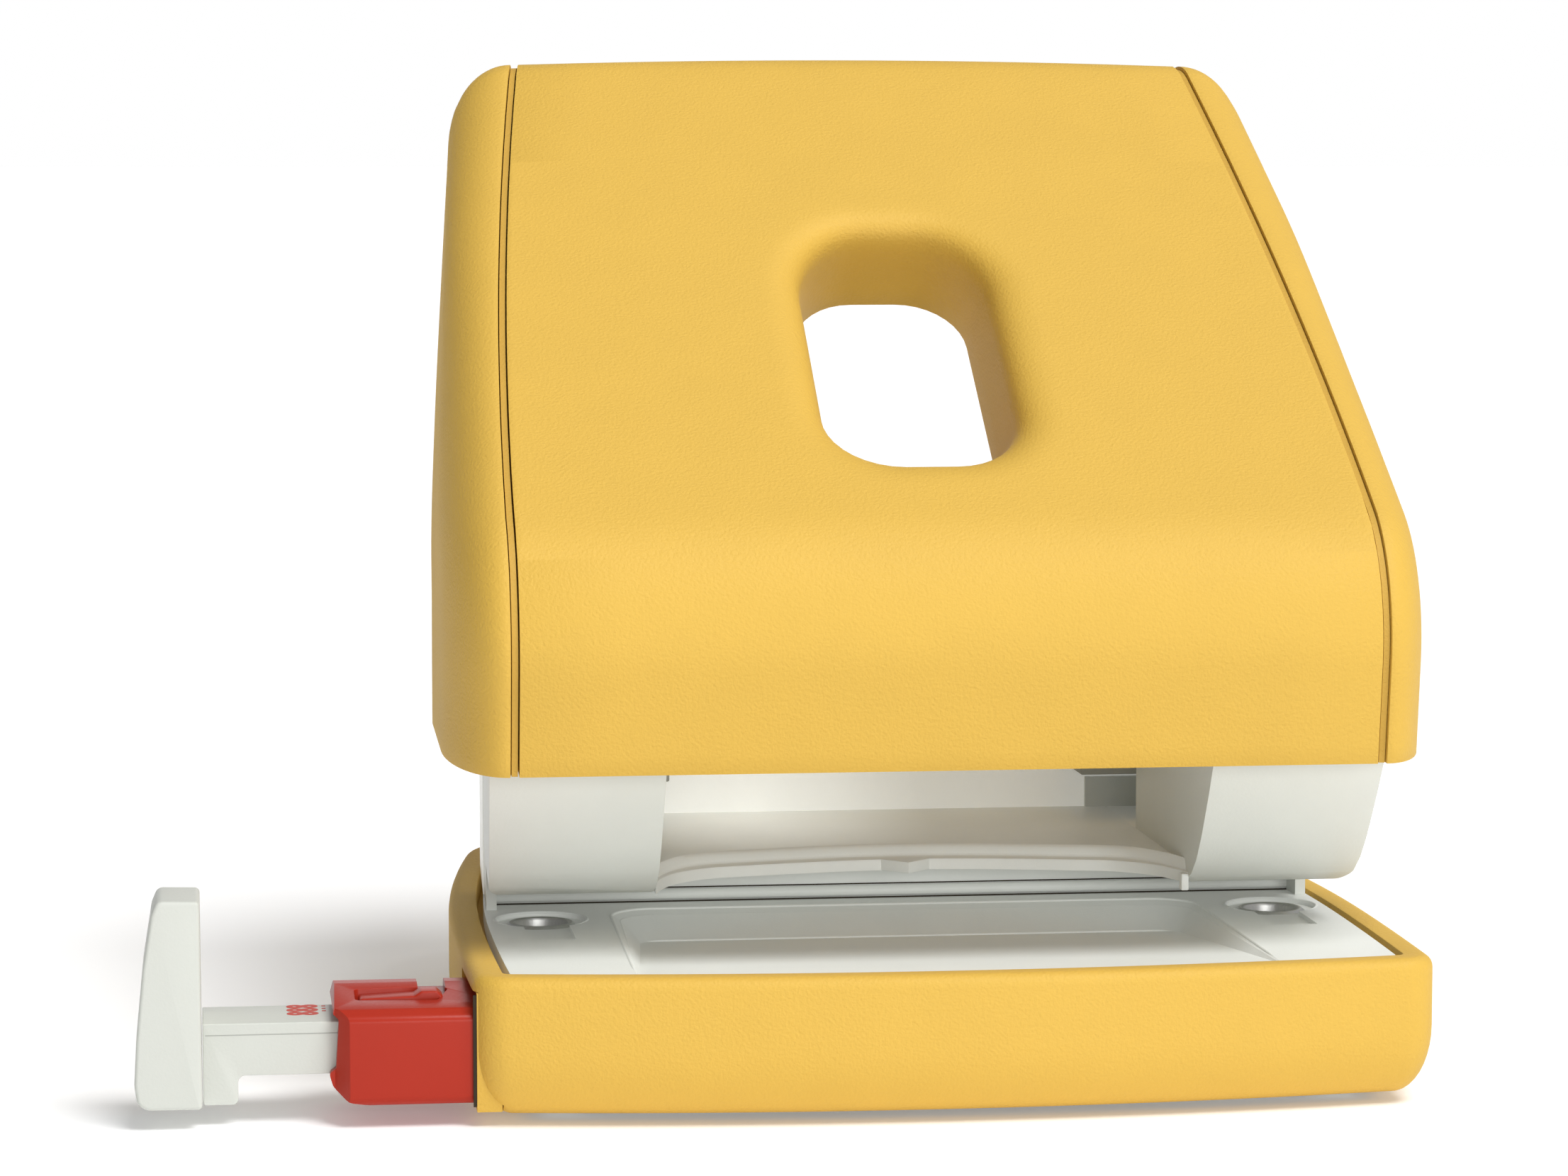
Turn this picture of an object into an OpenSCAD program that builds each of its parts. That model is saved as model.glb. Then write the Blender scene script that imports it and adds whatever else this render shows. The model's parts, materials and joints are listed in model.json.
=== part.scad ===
// Two-hole paper punch: lever handle on a front axle, sprung punches,
// a sliding paper guide with a red lock, and a chip tray that hinges open below.
// X runs along the paper's edge, Y points away from the user and Z is up.
// The origin is on the desk, below the point midway between the two punches.

/* [Punching] */
// Distance between the two hole centres
hole_spacing = 80; // [78:0.5:82]
// Diameter of the punched hole
hole_d = 5.5; // [5:0.1:6]
// Height of the slot that takes the paper
slot_h = 4.2; // [4.2:0.1:4.6]
// Distance from the hole centres to the paper stop
stop_depth = 11; // [11:0.5:13]

/* [Base] */
// Width of the base at its widest
base_w = 99.4; // [99:0.2:100]
// Distance from the hole line to the front of the base
base_front = 40.6; // [40:0.2:41]
// Distance from the hole line to the back of the base
base_back = 62; // [61:0.5:66]
// Height of the base's rim
base_h = 15.2; // [15:0.1:15.4]
// Height of the plate that the paper lies on
plate_z = 15; // [14.8:0.1:15]
// Depth of the finger trough in the plate
trough_depth = 2.2; // [1:0.1:2.4]

/* [Upper body] */
// Half the width across the two towers
body_half = 46.4; // [46.2:0.1:46.5]
// Distance from the middle to a tower's inner wall
bay_half = 28.6; // [27:0.2:29]
// Thickness of the tower walls
wall = 1.4; // [1.2:0.1:1.5]
// Height of the top of the towers
body_top = 50; // [49:0.5:50]
// Distance from the hole line to the back of the upper body
body_back = 38; // [36:0.5:39]
// Height of the upper body's rear wall
rear_top = 37; // [34:0.5:42]

/* [Handle] */
// Angle that the handle's top face makes with the desk
lean = 33.4; // [32:0.1:34]
// Thickness of the handle between its top face and its back face
slab_t = 14; // [13:0.5:15]
// Thickness of the handle's shells
shell_t = 2.5; // [2:0.1:2.6]
// Width of the finger hole
finger_w = 18.6; // [18:0.2:22]
// Height of the finger hole, square to its own direction
finger_h = 32; // [28:0.5:32]
// Downward tilt of the finger hole
finger_tilt = 25; // [20:1:28]
// How far the handle turns when it is pressed
press_angle = 25; // [20:1:25]

/* [Guide] */
// Distance from the middle to the end stop's paper face
stop_x = 76.2; // [74:0.2:80]
// Width of the guide bar
bar_w = 9.6; // [9:0.1:9.8]
// Height of the guide bar
bar_h = 5.3; // [5:0.1:5.4]

/* [Hidden] */
$fn = 48;

yellow = "#f2c454";
grey = "#dadcd4";
red = "#c34430";
steel = "#b8bcc0";

pin_x = hole_spacing / 2;
pin_r = hole_d / 2;
run_fit = 0.06;              // radial clearance of a shaft that turns or slides
gap = 0.3;                   // free space between pieces that move past each other
slot_z = plate_z + slot_h;   // roof of the slot

// ---- base outline: four large arcs with round corners between them ----
front_r = 300;
side_r = 350;
rear_r = 500;
side_mid_y = -5;
front_corner = 6;
rear_corner = 14;
front_c = [0, front_r - base_front];
rear_c = [0, base_back - rear_r];
side_c = [base_w / 2 - side_r, side_mid_y];
rim_w = 3.1;                 // rim between the outline and the plate's opening
plate_inset = 3.5;

// Point where two circles cross, on the left of the line from c1 to c2
function meet(c1, r1, c2, r2) =
    let (d = norm(c2 - c1), a = (r1 * r1 - r2 * r2 + d * d) / (2 * d),
         h = sqrt(r1 * r1 - a * a), u = (c2 - c1) / d)
    c1 + a * u + h * [-u[1], u[0]];
function angle_to(from, to) = atan2(to[1] - from[1], to[0] - from[0]);
function arc(c, r, a0, a1, n) =
    [for (i = [0 : n]) c + r * [cos(a0 + (a1 - a0) * i / n), sin(a0 + (a1 - a0) * i / n)]];
function flip(points) = [for (i = [len(points) - 1 : -1 : 0]) [-points[i][0], points[i][1]]];

front_corner_c = meet(front_c, front_r - front_corner, side_c, side_r - front_corner);
rear_corner_c = meet(side_c, side_r - rear_corner, rear_c, rear_r - rear_corner);

function half_outline(in) =
    let (a0 = angle_to(front_c, front_corner_c), a1 = angle_to(side_c, front_corner_c),
         a2 = angle_to(side_c, rear_corner_c), a3 = angle_to(rear_c, rear_corner_c))
    concat(arc(front_c, front_r - in, -90, a0, 10),
           arc(front_corner_c, front_corner - in, a0, a1, 6),
           arc(side_c, side_r - in, a1, a2, 10),
           arc(rear_corner_c, rear_corner - in, a2, a3, 8),
           arc(rear_c, rear_r - in, a3, 90, 6));

module base_outline(in) {
    points = half_outline(in);
    polygon(concat(points, flip(points)));
}

module layer(in, z0, z1) {
    translate([0, 0, z0])
        linear_extrude(z1 - z0)
            base_outline(in);
}

// ---- small helpers ----
module box(low, high) {
    translate(low)
        cube(high - low);
}

// Solid made from an outline drawn in Y and Z, between two X positions
module side_profile(x0, x1) {
    translate([x0, 0, 0])
        rotate([90, 0, 90])
            linear_extrude(x1 - x0)
                children();
}

module x_cylinder(r, x0, x1, at) {
    translate([x0, at[0], at[1]])
        rotate([0, 90, 0])
            cylinder(r = r, h = x1 - x0);
}

// Flat bar with round ends, drawn in two dimensions
module link(a, b, w) {
    translate(a)
        rotate(angle_to(a, b))
            translate([0, -w / 2])
                square([norm(b - a), w]);
    for (p = [a, b])
        translate(p)
            circle(d = w);
}

module mirror_if(left) {
    mirror([left ? 1 : 0, 0, 0])
        children();
}

// ---- guide: places of the bar, lock and port ----
bar_y = -26.2;
bar_z0 = 4.9;
bar_z1 = bar_z0 + bar_h;
bar_tip = 49.9;
lock_x0 = -63.4;
lock_x1 = -44.5;
lock_y = [-34.5, -20.4];
lock_z = [2.1, 13];
tab_y = [-29.4, -26.6];
tab_x = [-61.4, -51.6];

module bar_hole(x0, x1) {
    box([x0, bar_y - bar_w / 2 - gap, bar_z0 - gap],
        [x1, bar_y + bar_w / 2 + gap, bar_z1 + gap]);
}

// ---- tray: place of the hinge ----
hinge = [52.6, 3.4];         // Y and Z
hinge_pin_r = 1;
knuckle_r = 2.2;
knuckle_w = 10;
knuckle_x = [-25, 0, 25];
lug_w = 4;
tray_wall_top = 9.4;
tray_wall_y = [-19.4, 46.5];  // front and back walls
tray_wall_in = 7;            // inset of the side walls from the base outline
tray_floor_in = 6.5;
mat_t = 1.2;

// ---- lever: axle and the nose that presses the punch ----
axle = [-17, 45];            // Y and Z
axle_r = 2.5;
nose = [0, 47];
nose_r = 3;
lever_t = 3;

// ---- handle profile, drawn in Y and Z ----
bend_c = [-15.6, 46.9];
bend_r = 16;
end_r = slab_t / 2;
end_c = [49.9, 100.9];
front_foot = [-30.1, 34.9];
front_tilt = 8;              // how far the lower front face leans forward
along = [cos(lean), sin(lean)];
outward = [-sin(lean), cos(lean)];
seam_w = 0.9;
// Half width of the panel, by the distance up its top face
function panel_half(s) = 44.2 - (s > 0 ? 0.0154 * s + 0.00054 * s * s : 0);
face_start = bend_c + bend_r * outward;

function handle_outline(in) = concat(
    [[front_foot[0] + in, front_foot[1] - in * 4]],
    arc(bend_c, bend_r - in, 180 + front_tilt, 90 + lean, 10),
    arc(end_c, end_r - in, 90 + lean, lean - 90, 12),
    [end_c - (end_r - in) * outward - 50 * along],
    [[2 - in, front_foot[1] - in * 4]]);

// Everything between two distances from the panel's side edge
module edge_region(from, to) {
    steps = [-60, 0, 20, 40, 60, 78, 95];
    low = [for (s = steps) [panel_half(s) + from, s]];
    high = [for (i = [len(steps) - 1 : -1 : 0]) [panel_half(steps[i]) + to, steps[i]]];
    translate([0, face_start[0], face_start[1]])
        rotate([lean, 0, 0])
            translate([0, 0, -60])
                linear_extrude(90)
                    polygon(concat(low, high));
}

module handle_ring(outer_in, inner_in) {
    difference() {
        polygon(handle_outline(outer_in));
        polygon(handle_outline(inner_in));
    }
}

// Everything on the back-face side of the handle's middle plane, behind the given Y
module back_half(from_y) {
    intersection() {
        translate(end_c)
            rotate(lean)
                translate([-90, -30])
                    square([120, 30]);
        translate([from_y, 0])
            square([100, 150]);
    }
}

// Back and underside of the handle, where the front shell is open
module open_back() {
    translate([-50, front_foot[1] - 40])
        square([100, 40]);
    back_half(-8);
    translate([-12, 0])
        square([60, 60]);
}

// ---- finger hole: a rounded tube through the handle ----
finger_mid = face_start + 27.5 * along;
finger_r = 7;

module finger_tube(grow) {
    w = finger_w / 2 - finger_r;
    h = finger_h / 2 - finger_r;
    translate([0, finger_mid[0], finger_mid[1]])
        rotate([-90 - finger_tilt, 0, 0])
            translate([0, 0, -30])
                linear_extrude(70) {
                    square([finger_w + 2 * grow, 2 * h], center = true);
                    square([2 * w, finger_h + 2 * grow], center = true);
                    for (sx = [-1, 1], sy = [-1, 1])
                        translate([sx * w, sy * h])
                            circle(r = finger_r + grow);
                }
}

// =================================================================== base
module base_shell() {
    rear_deck = body_back + 1.2;
    color(yellow)
        difference() {
            union() {
                difference() {
                    hull() {
                        layer(4.4, 0.5, 0.6);
                        layer(2.2, 1.5, 1.6);
                        layer(0.8, 3.2, 3.3);
                        layer(0, 6, base_h - 1.2);
                        layer(0.35, base_h - 0.5, base_h - 0.4);
                        layer(1.2, base_h - 0.1, base_h);
                    }
                    layer(5.8, -1, 5);
                    layer(2.4, 4.6, plate_z - 1.8);
                    intersection() {
                        layer(rim_w, plate_z - 3, base_h + 1);
                        box([-60, -60, 0], [60, rear_deck, 30]);
                    }
                }
                // ledge that the plate lies on
                difference() {
                    layer(2.2, plate_z - 3.4, plate_z - 1.8);
                    layer(5.2, plate_z - 4, plate_z);
                }
                // hinge lugs hang from the deck
                for (s = [-1, 1])
                    translate([s * (25 + knuckle_w / 2 + gap + lug_w / 2), 0, 0])
                        hinge_lug();
            }
            bar_hole(30, 60);
            box([-60, lock_y[0] - 0.6, lock_z[0] - 0.7], [-42, lock_y[1] + 0.6, lock_z[1] + 0.5]);
            x_cylinder(hinge_pin_r, -60, 60, hinge);
            // seats for the dies and for the upper body's side walls
            for (s = [-1, 1])
                translate([s * pin_x, 0, plate_z - 4.5])
                    cylinder(r = 6.5, h = 3);
            box([-body_half - 0.1, post_y - 0.1, plate_z], [body_half + 0.1, body_back + 0.1, 30]);
        }
}

module hinge_lug() {
    box([-lug_w / 2, hinge[0] - knuckle_r, hinge[1]],
        [lug_w / 2, hinge[0] + knuckle_r, plate_z - 1.5]);
    x_cylinder(knuckle_r, -lug_w / 2, lug_w / 2, hinge);
}

module port_bezel() {
    color(yellow)
        difference() {
            box([-48.8, lock_y[0] - 0.6, lock_z[0] - 0.7],
                [-46.4, lock_y[1] + 0.6, lock_z[1] + 0.5]);
            box([-60, lock_y[0], lock_z[0]], [-40, lock_y[1], lock_z[1]]);
        }
}

trough_floor = plate_z - trough_depth;
die_r = 4.5;

// Outline of the finger trough, wider towards the front
module trough_outline(grow) {
    polygon([[-30 - grow, 5 + grow], [30 + grow, 5 + grow],
             [32.5 + grow, -30 - grow], [-32.5 - grow, -30 - grow]]);
}

module base_plate() {
    color(grey)
        difference() {
            union() {
                intersection() {
                    layer(plate_inset, plate_z - 1.8, plate_z);
                    box([-60, -60, 0], [60, body_back + 0.8, 30]);
                }
                translate([0, 0, trough_floor - 1.6])
                    linear_extrude(trough_depth + 1)
                        trough_outline(1.4);
                for (s = [-1, 1])
                    translate([s * pin_x, 0, plate_z - 4])
                        cylinder(r = 6.2, h = 3);
            }
            translate([0, 0, trough_floor])
                linear_extrude(10)
                    trough_outline(0);
            for (s = [-1, 1])
                translate([s * pin_x, 0, 0]) {
                    translate([0, 0, plate_z - 5])
                        cylinder(r = die_r, h = 10);
                    translate([0, 0, plate_z - 0.4])
                        cylinder(r = 5, h = 5);
                }
            screw_places()
                cylinder(r = 1.5, h = 30);
        }
}

module die() {
    color(steel)
        translate([pin_x, 0, plate_z - 4])
            difference() {
                cylinder(r = die_r, h = 3.9);
                translate([0, 0, -1])
                    cylinder(r = pin_r + run_fit, h = 6);
            }
}

// ============================================================= upper body
front_face = [[-9, slot_z], [-14.4, slot_z + 3.2], [-18.2, slot_z + 8],
              [-22.2, slot_z + 14], [-25.4, slot_z + 19]];
post_y = 6.5;
tower_back = 18;
pin_guide_r = 4;

module tower_side(in) {
    top = body_top + (in > 0 ? 5 : 0);
    back = tower_back - in;
    polygon(concat([for (p = front_face) [p[0] + in * 1.3, p[1]]],
                   [[-25.4 + in * 1.3, top], [back, top], [back, slot_z]]));
}

// Space above the floor of a tower
module above_floor(top) {
    translate([-40, slot_z + 2])
        square([80, top - slot_z - 2]);
}

module tower() {
    color(grey)
        difference() {
            union() {
                difference() {
                    side_profile(bay_half, body_half)
                        tower_side(0);
                    side_profile(bay_half + wall, body_half - wall)
                        intersection() {
                            tower_side(wall);
                            above_floor(80);
                        }
                }
                // post that joins the tower to the base behind the slot
                box([body_half - wall, post_y, plate_z], [body_half, tower_back, slot_z + 3]);
                box([bay_half, stop_depth + 1.7, plate_z], [body_half, tower_back, slot_z + 1]);
                translate([screw_x, screw_y, plate_z])
                    cylinder(r = 2.2, h = 12);
            }
            translate([pin_x, 0, slot_z - 1])
                cylinder(r = pin_guide_r, h = 5);
            x_cylinder(axle_r, bay_half - 5, body_half + 5, axle);
            translate([screw_x, screw_y, plate_z - 1])
                cylinder(r = 1.5, h = 11);
        }
}

module pin_guide() {
    color(steel)
        translate([pin_x, 0, slot_z])
            difference() {
                union() {
                    cylinder(r = pin_guide_r, h = 2);
                    translate([0, 0, 2])
                        cylinder(r = 5, h = 1);
                    translate([0, 0, 3])
                        cylinder(r = 3.5, h = 3);
                }
                translate([0, 0, -1])
                    cylinder(r = pin_r + run_fit, h = 10);
            }
}

module frame_cheek() {
    color(steel)
        difference() {
            side_profile(bay_half + wall, bay_half + wall + 1.5)
                intersection() {
                    tower_side(wall + 0.3);
                    above_floor(body_top - 0.5);
                }
            x_cylinder(axle_r, 0, 60, axle);
        }
}

shelf_y = 5;
lip_r = 9;
lip_reach = -9;

// The open bay in front of the shelf's lip
module bay_cut() {
    x = bay_half - 1.2;
    right = concat([[x, -40], [x, shelf_y - lip_r]],
                   arc([x - lip_r, shelf_y - lip_r], lip_r, 0, 90, 8));
    polygon(concat(right, flip(right)));
}

module shelf_outline() {
    difference() {
        union() {
            translate([-bay_half, lip_reach])
                square([2 * bay_half, body_back - wall - lip_reach]);
            translate([-body_half + wall, tower_back])
                square([2 * (body_half - wall), body_back - wall - tower_back]);
        }
        bay_cut();
    }
    polygon([[-2.65, shelf_y + 0.5], [-2.65, shelf_y], [0, shelf_y - 2.4], [2.65, shelf_y],
             [2.65, shelf_y + 0.5]]);
}

module paper_shelf() {
    color(grey)
        translate([0, 0, slot_z])
            linear_extrude(1.9)
                shelf_outline();
}

module rear_housing() {
    side_wall = [[tower_back, plate_z], [tower_back, body_top], [body_back - 4, rear_top],
                 [body_back, rear_top], [body_back, plate_z]];
    color(grey) {
        for (s = [0, 1])
            mirror([s, 0, 0])
                side_profile(body_half - wall, body_half)
                    polygon(side_wall);
        box([-body_half, body_back - wall, plate_z], [body_half, body_back, rear_top]);
    }
}

module paper_stop_rail() {
    x = body_half - wall;
    color(grey) {
        box([-x, stop_depth, plate_z], [x, stop_depth + 1.6, slot_z]);
        x_cylinder(0.6, -x + 0.6, x - 0.6, [stop_depth - 0.2, plate_z + 0.6]);
    }
}

module pivot_axle() {
    color(steel)
        x_cylinder(axle_r, -48.3, 48.3, axle);
}

module axle_clips() {
    color(steel)
        for (s = [0, 1])
            mirror([s, 0, 0])
                difference() {
                    x_cylinder(4.2, body_half + 0.3, body_half + 1.1, axle);
                    x_cylinder(axle_r, 0, 60, axle);
                    box([0, axle[0] - 1.6, axle[1] - 6], [60, axle[0] + 1.6, axle[1]]);
                }
}

screw_x = 36;
screw_y = 15.5;

module screw_places() {
    for (s = [-1, 1])
        translate([s * screw_x, screw_y, 0])
            children();
}

module frame_screws() {
    color(steel)
        screw_places() {
            translate([0, 0, plate_z - 1.8])
                cylinder(r = 1.5, h = 10);
            translate([0, 0, plate_z - 3.8])
                cylinder(r = 2.8, h = 2);
        }
}

// ================================================================== guide
module guide_lock() {
    front = lock_y[0];
    back = lock_y[1];
    low = lock_z[0];
    top = lock_z[1];
    corner = 5;
    color(red)
        difference() {
            intersection() {
                side_profile(lock_x0, lock_x1)
                    polygon([[front, low], [front, top - 2], [front + 0.8, top - 1.3],
                             [back - 3.6, top], [back, top], [back, low]]);
                // round lower corner at the outer end
                translate([0, -10, 0])
                    rotate([90, 0, 0])
                        linear_extrude(30)
                            polygon(concat([[lock_x1, low], [lock_x1, 20], [lock_x0, 20]],
                                           arc([lock_x0 + corner, low + corner], corner,
                                               180, 270, 8)));
            }
            bar_hole(-80, 0);
            box([tab_x[0] - 0.3, tab_y[0] - 0.3, bar_z1 + 0.2],
                [tab_x[1] + 0.3, tab_y[1] + 0.3, 20]);
        }
}

module release_tab() {
    color(red) {
        box([tab_x[0], tab_y[0], bar_z1 + 1.1], [tab_x[1], tab_y[1], 12.4]);
        box([tab_x[1] - 2.4, tab_y[0], 12.4], [tab_x[1], tab_y[1], 12.8]);
    }
}

notch_x = [0, 7.7, 36.5, 80]; // small format, three-eighty, half sheet, full sheet

module guide_bar() {
    y0 = bar_y - bar_w / 2;
    y1 = bar_y + bar_w / 2;
    color(grey)
        difference() {
            union() {
                box([-stop_x, y0, bar_z0], [bar_tip, y1, bar_z1]);
                box([-stop_x, y0, 2.5], [-stop_x + 3.6, y1, bar_z0]);
            }
            // sight groove along the front
            box([-stop_x + 0.4, y0 - 1, bar_z1 - 1.05], [bar_tip + 1, y0 + 0.15, bar_z1 - 0.95]);
            // notches for the detent spring
            for (n = notch_x)
                box([-52 + n, y1 - 0.5, bar_z0 + 1], [-51 + n, y1 + 1, bar_z1 - 1]);
        }
}

module end_stop() {
    foot_z = 1.9;
    top_z = 23;
    color(grey)
        translate([0, -23.2, 0])
            rotate([90, 0, 0])
                linear_extrude(9.8)
                    polygon([[-stop_x, foot_z], [-stop_x, top_z], [-stop_x - 4.6, top_z],
                             [-stop_x - 5.8, 17], [-stop_x - 6.6, 10], [-stop_x - 6.8, 4],
                             [-stop_x - 5.6, foot_z]]);
}

module detent_spring() {
    y = bar_y + bar_w / 2 + 0.75;
    color(steel)
        box([lock_x1, y, bar_z0 + 0.5], [lock_x1 + 12, y + 0.3, bar_z1 - 0.5]);
}

// =================================================================== tray
// Part of the base outline between two distances from the hole line
module tray_slab(in, y0, y1, z0, z1) {
    intersection() {
        layer(in, z0, z1);
        box([-60, y0, z0 - 1], [60, y1, z1 + 1]);
    }
}

module chip_tray() {
    front = tray_wall_y[0];
    back = tray_wall_y[1];
    floor_z = mat_t + 1.6;
    color(grey)
        difference() {
            union() {
                tray_slab(tray_floor_in, -31, hinge[0] - 3, mat_t, floor_z);
                difference() {
                    tray_slab(tray_wall_in, front, back, mat_t, tray_wall_top);
                    tray_slab(tray_wall_in + 1.4, front + 1.4, back - 1.4, floor_z,
                              tray_wall_top + 1);
                }
                for (x = knuckle_x) {
                    box([x - knuckle_w / 2, hinge[0] - 4, mat_t],
                        [x + knuckle_w / 2, hinge[0], floor_z]);
                    x_cylinder(knuckle_r, x - knuckle_w / 2, x + knuckle_w / 2, hinge);
                }
            }
            x_cylinder(hinge_pin_r + run_fit, -60, 60, hinge);
        }
}

module tray_hinge_pin() {
    x = 25 + knuckle_w / 2 + gap + lug_w;
    color(steel)
        x_cylinder(hinge_pin_r, -x, x, hinge);
}

module grip_mat() {
    color("dimgray")
        box([-38, -29, 0], [38, 46, mat_t]);
}

// ================================================================ punches
pin_tip = slot_z + 0.3;
pin_top = nose[1] - nose_r - 0.1;
collar_z = pin_top - 3;

module punch_pin() {
    color(steel)
        translate([pin_x, 0, 0])
            difference() {
                translate([0, 0, pin_tip])
                    cylinder(r = pin_r, h = pin_top - pin_tip);
                // hollow-ground cutting end
                translate([-5, 0, pin_tip - 4.2])
                    rotate([0, 90, 0])
                        cylinder(r = 5, h = 10);
            }
}

module pin_collar() {
    color(steel)
        translate([pin_x, 0, collar_z])
            difference() {
                cylinder(r = 4.5, h = 1.6);
                translate([0, 0, -1])
                    cylinder(r = pin_r, h = 4);
            }
}

spring_z0 = slot_z + 3.2;
spring_z1 = collar_z - 0.2;
coil_r = 4.05;
wire_r = 0.3;
coils = 8;

// Return spring: rings stacked at the helix's pitch, joined by two struts
module return_spring() {
    pitch = (spring_z1 - spring_z0 - 2 * wire_r) / coils;
    color(steel)
        translate([pin_x, 0, spring_z0 + wire_r]) {
            for (i = [0 : coils])
                translate([0, 0, i * pitch])
                    rotate_extrude()
                        translate([coil_r, 0])
                            circle(r = wire_r);
            for (i = [0 : coils - 1])
                rotate(180 * (i % 2))
                    translate([coil_r, 0, i * pitch])
                        cylinder(r = wire_r * 0.7, h = pitch);
        }
}

// ================================================================= handle
module handle_panel() {
    color(yellow)
        difference() {
            union() {
                intersection() {
                    side_profile(-50, 50)
                        difference() {
                            handle_ring(0, shell_t);
                            open_back();
                        }
                    union() {
                        edge_region(-60, 0);
                        mirror([1, 0, 0])
                            edge_region(-60, 0);
                    }
                }
                // sleeve around the finger hole
                intersection() {
                    finger_tube(2);
                    side_profile(-30, 30)
                        polygon(handle_outline(0.2));
                }
                // ribs that hold the lever arms
                for (s = [0, 1])
                    mirror([s, 0, 0])
                        for (x = [pin_x - lever_t / 2 - 1.8, pin_x + lever_t / 2 + 0.05])
                            intersection() {
                                side_profile(x, x + 1.7)
                                    intersection() {
                                        polygon(handle_outline(0.5));
                                        translate(end_c)
                                            rotate(lean)
                                                translate([-60, -end_r + shell_t + 0.4])
                                                    square([40, 20]);
                                    }
                                edge_region(-60, -0.5);
                            }
            }
            finger_tube(0);
            rivet_places()
                x_cylinder(2, -60, 60, [0, 0]);
        }
}

back_cover_y = 10.8;

module handle_back_cover() {
    color(yellow)
        difference() {
            intersection() {
                side_profile(-50, 50)
                    intersection() {
                        handle_ring(0, 2);
                        back_half(back_cover_y);
                    }
                union() {
                    edge_region(-60, -0.1);
                    mirror([1, 0, 0])
                        edge_region(-60, -0.1);
                }
            }
            finger_tube(2.2);
        }
}

module seam_strip() {
    color(yellow)
        intersection() {
            side_profile(30, 50)
                difference() {
                    handle_ring(0.9, 3);
                    open_back();
                }
            edge_region(0, seam_w);
        }
}

cover_half = 51.4;           // half width across the side covers
cover_wall = 2.2;
cover_flat = [-14, 4];       // stretch over which a cover is at its widest
tower_room = [[-27.5, 0], [-27.5, 50.5], [13, 69.5], [38, 66], [60, 66], [60, 0]];

// Plan outline of a side cover's lower part, rounded towards the front
module cover_plan(shrink) {
    front = front_foot[0] - 0.6 + shrink;
    bulge = cover_half - panel_half(0) - seam_w;
    points = [for (a = [0 : 15 : 90])
        [panel_half(0) + seam_w - shrink + bulge * sin(a),
         cover_flat[0] - (cover_flat[0] - front) * cos(a)]];
    polygon(concat([[38, front]], points,
                   [[cover_half - shrink, cover_flat[1]], [38, cover_flat[1] + 6]]));
}

// Outer body of a side cover; shrink gives the cavity inside it
module cover_body(shrink) {
    hull() {
        // edge next to the seam strip
        x_cylinder(bend_r - shrink, 38, panel_half(0) + seam_w, bend_c);
        for (s = [25, 50])
            x_cylinder(end_r - shrink, 38, panel_half(s) + seam_w,
                       face_start + s * along - end_r * outward);
        x_cylinder(end_r - shrink, 38, panel_half(76) + seam_w, end_c);
        // side wall
        translate([0, 0, front_foot[1]])
            linear_extrude(14)
                cover_plan(shrink);
        x_cylinder(8 - shrink, 38, cover_half - shrink, [-6, 52]);
        x_cylinder(5 - shrink, 38, cover_half - 1.2 - shrink, [14, 66]);
        x_cylinder(5 - shrink, 38, 46.8 - shrink, [43, 95.5]);
    }
}

module handle_cover() {
    color(yellow)
        intersection() {
            difference() {
                cover_body(0);
                cover_body(cover_wall);
                // room for the tower as the handle comes down
                side_profile(30, body_half + 0.5)
                    polygon(tower_room);
            }
            edge_region(seam_w, 30);
            box([0, -60, front_foot[1]], [60, 100, 150]);
        }
}

module lever_arm() {
    color(steel)
        difference() {
            side_profile(pin_x - lever_t / 2, pin_x + lever_t / 2)
                polygon(concat(arc(axle, 5, 90, 280, 14),
                               [nose + [-4.5, 0.05 - nose_r]],
                               arc(nose, nose_r, -90, 20, 6),
                               [lever_knee + [3, -2.4]],
                               arc(lever_end, 3.5, lean - 90, lean + 90, 8),
                               [lever_knee + [-3, 2.4], axle + [9, 7]]));
            x_cylinder(axle_r + run_fit, 0, 60, axle);
            rivet_places()
                x_cylinder(2, 0, 60, [0, 0]);
        }
}

lever_knee = [2, 68.5];
lever_end = [37, 91.7];

module rivet_places() {
    for (part = [0.2, 0.75])
        translate([0, (1 - part) * lever_knee[0] + part * lever_end[0],
                   (1 - part) * lever_knee[1] + part * lever_end[1]])
            children();
}

module lever_crossbar() {
    x = pin_x - lever_t / 2;
    color(steel)
        x_cylinder(2.6, -x, x, lever_end);
}

module lever_rivets() {
    color(steel)
        for (s = [0, 1])
            mirror([s, 0, 0])
                rivet_places()
                    x_cylinder(2, pin_x - lever_t / 2 - 1.8, pin_x + lever_t / 2 + 1.8, [0, 0]);
}

base_shell();
port_bezel();
base_plate();
mirror_if(true) die();  // die_left
die();  // die_right
mirror_if(true) tower();  // tower_left
tower();  // tower_right
mirror_if(true) pin_guide();  // pin_guide_left
pin_guide();  // pin_guide_right
mirror_if(true) frame_cheek();  // frame_cheek_left
frame_cheek();  // frame_cheek_right
paper_shelf();
rear_housing();
paper_stop_rail();
pivot_axle();
axle_clips();
frame_screws();
guide_lock();
detent_spring();
release_tab();
guide_bar();
end_stop();
chip_tray();
tray_hinge_pin();
grip_mat();
mirror_if(true) punch_pin();  // punch_pin_left
punch_pin();  // punch_pin_right
mirror_if(true) pin_collar();  // pin_collar_left
pin_collar();  // pin_collar_right
mirror_if(true) return_spring();  // return_spring_left
return_spring();  // return_spring_right
handle_panel();
handle_back_cover();
mirror_if(true) seam_strip();  // seam_strip_left
seam_strip();  // seam_strip_right
mirror_if(true) handle_cover();  // handle_left_cover
handle_cover();  // handle_right_cover
mirror_if(true) lever_arm();  // lever_arm_left
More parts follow.
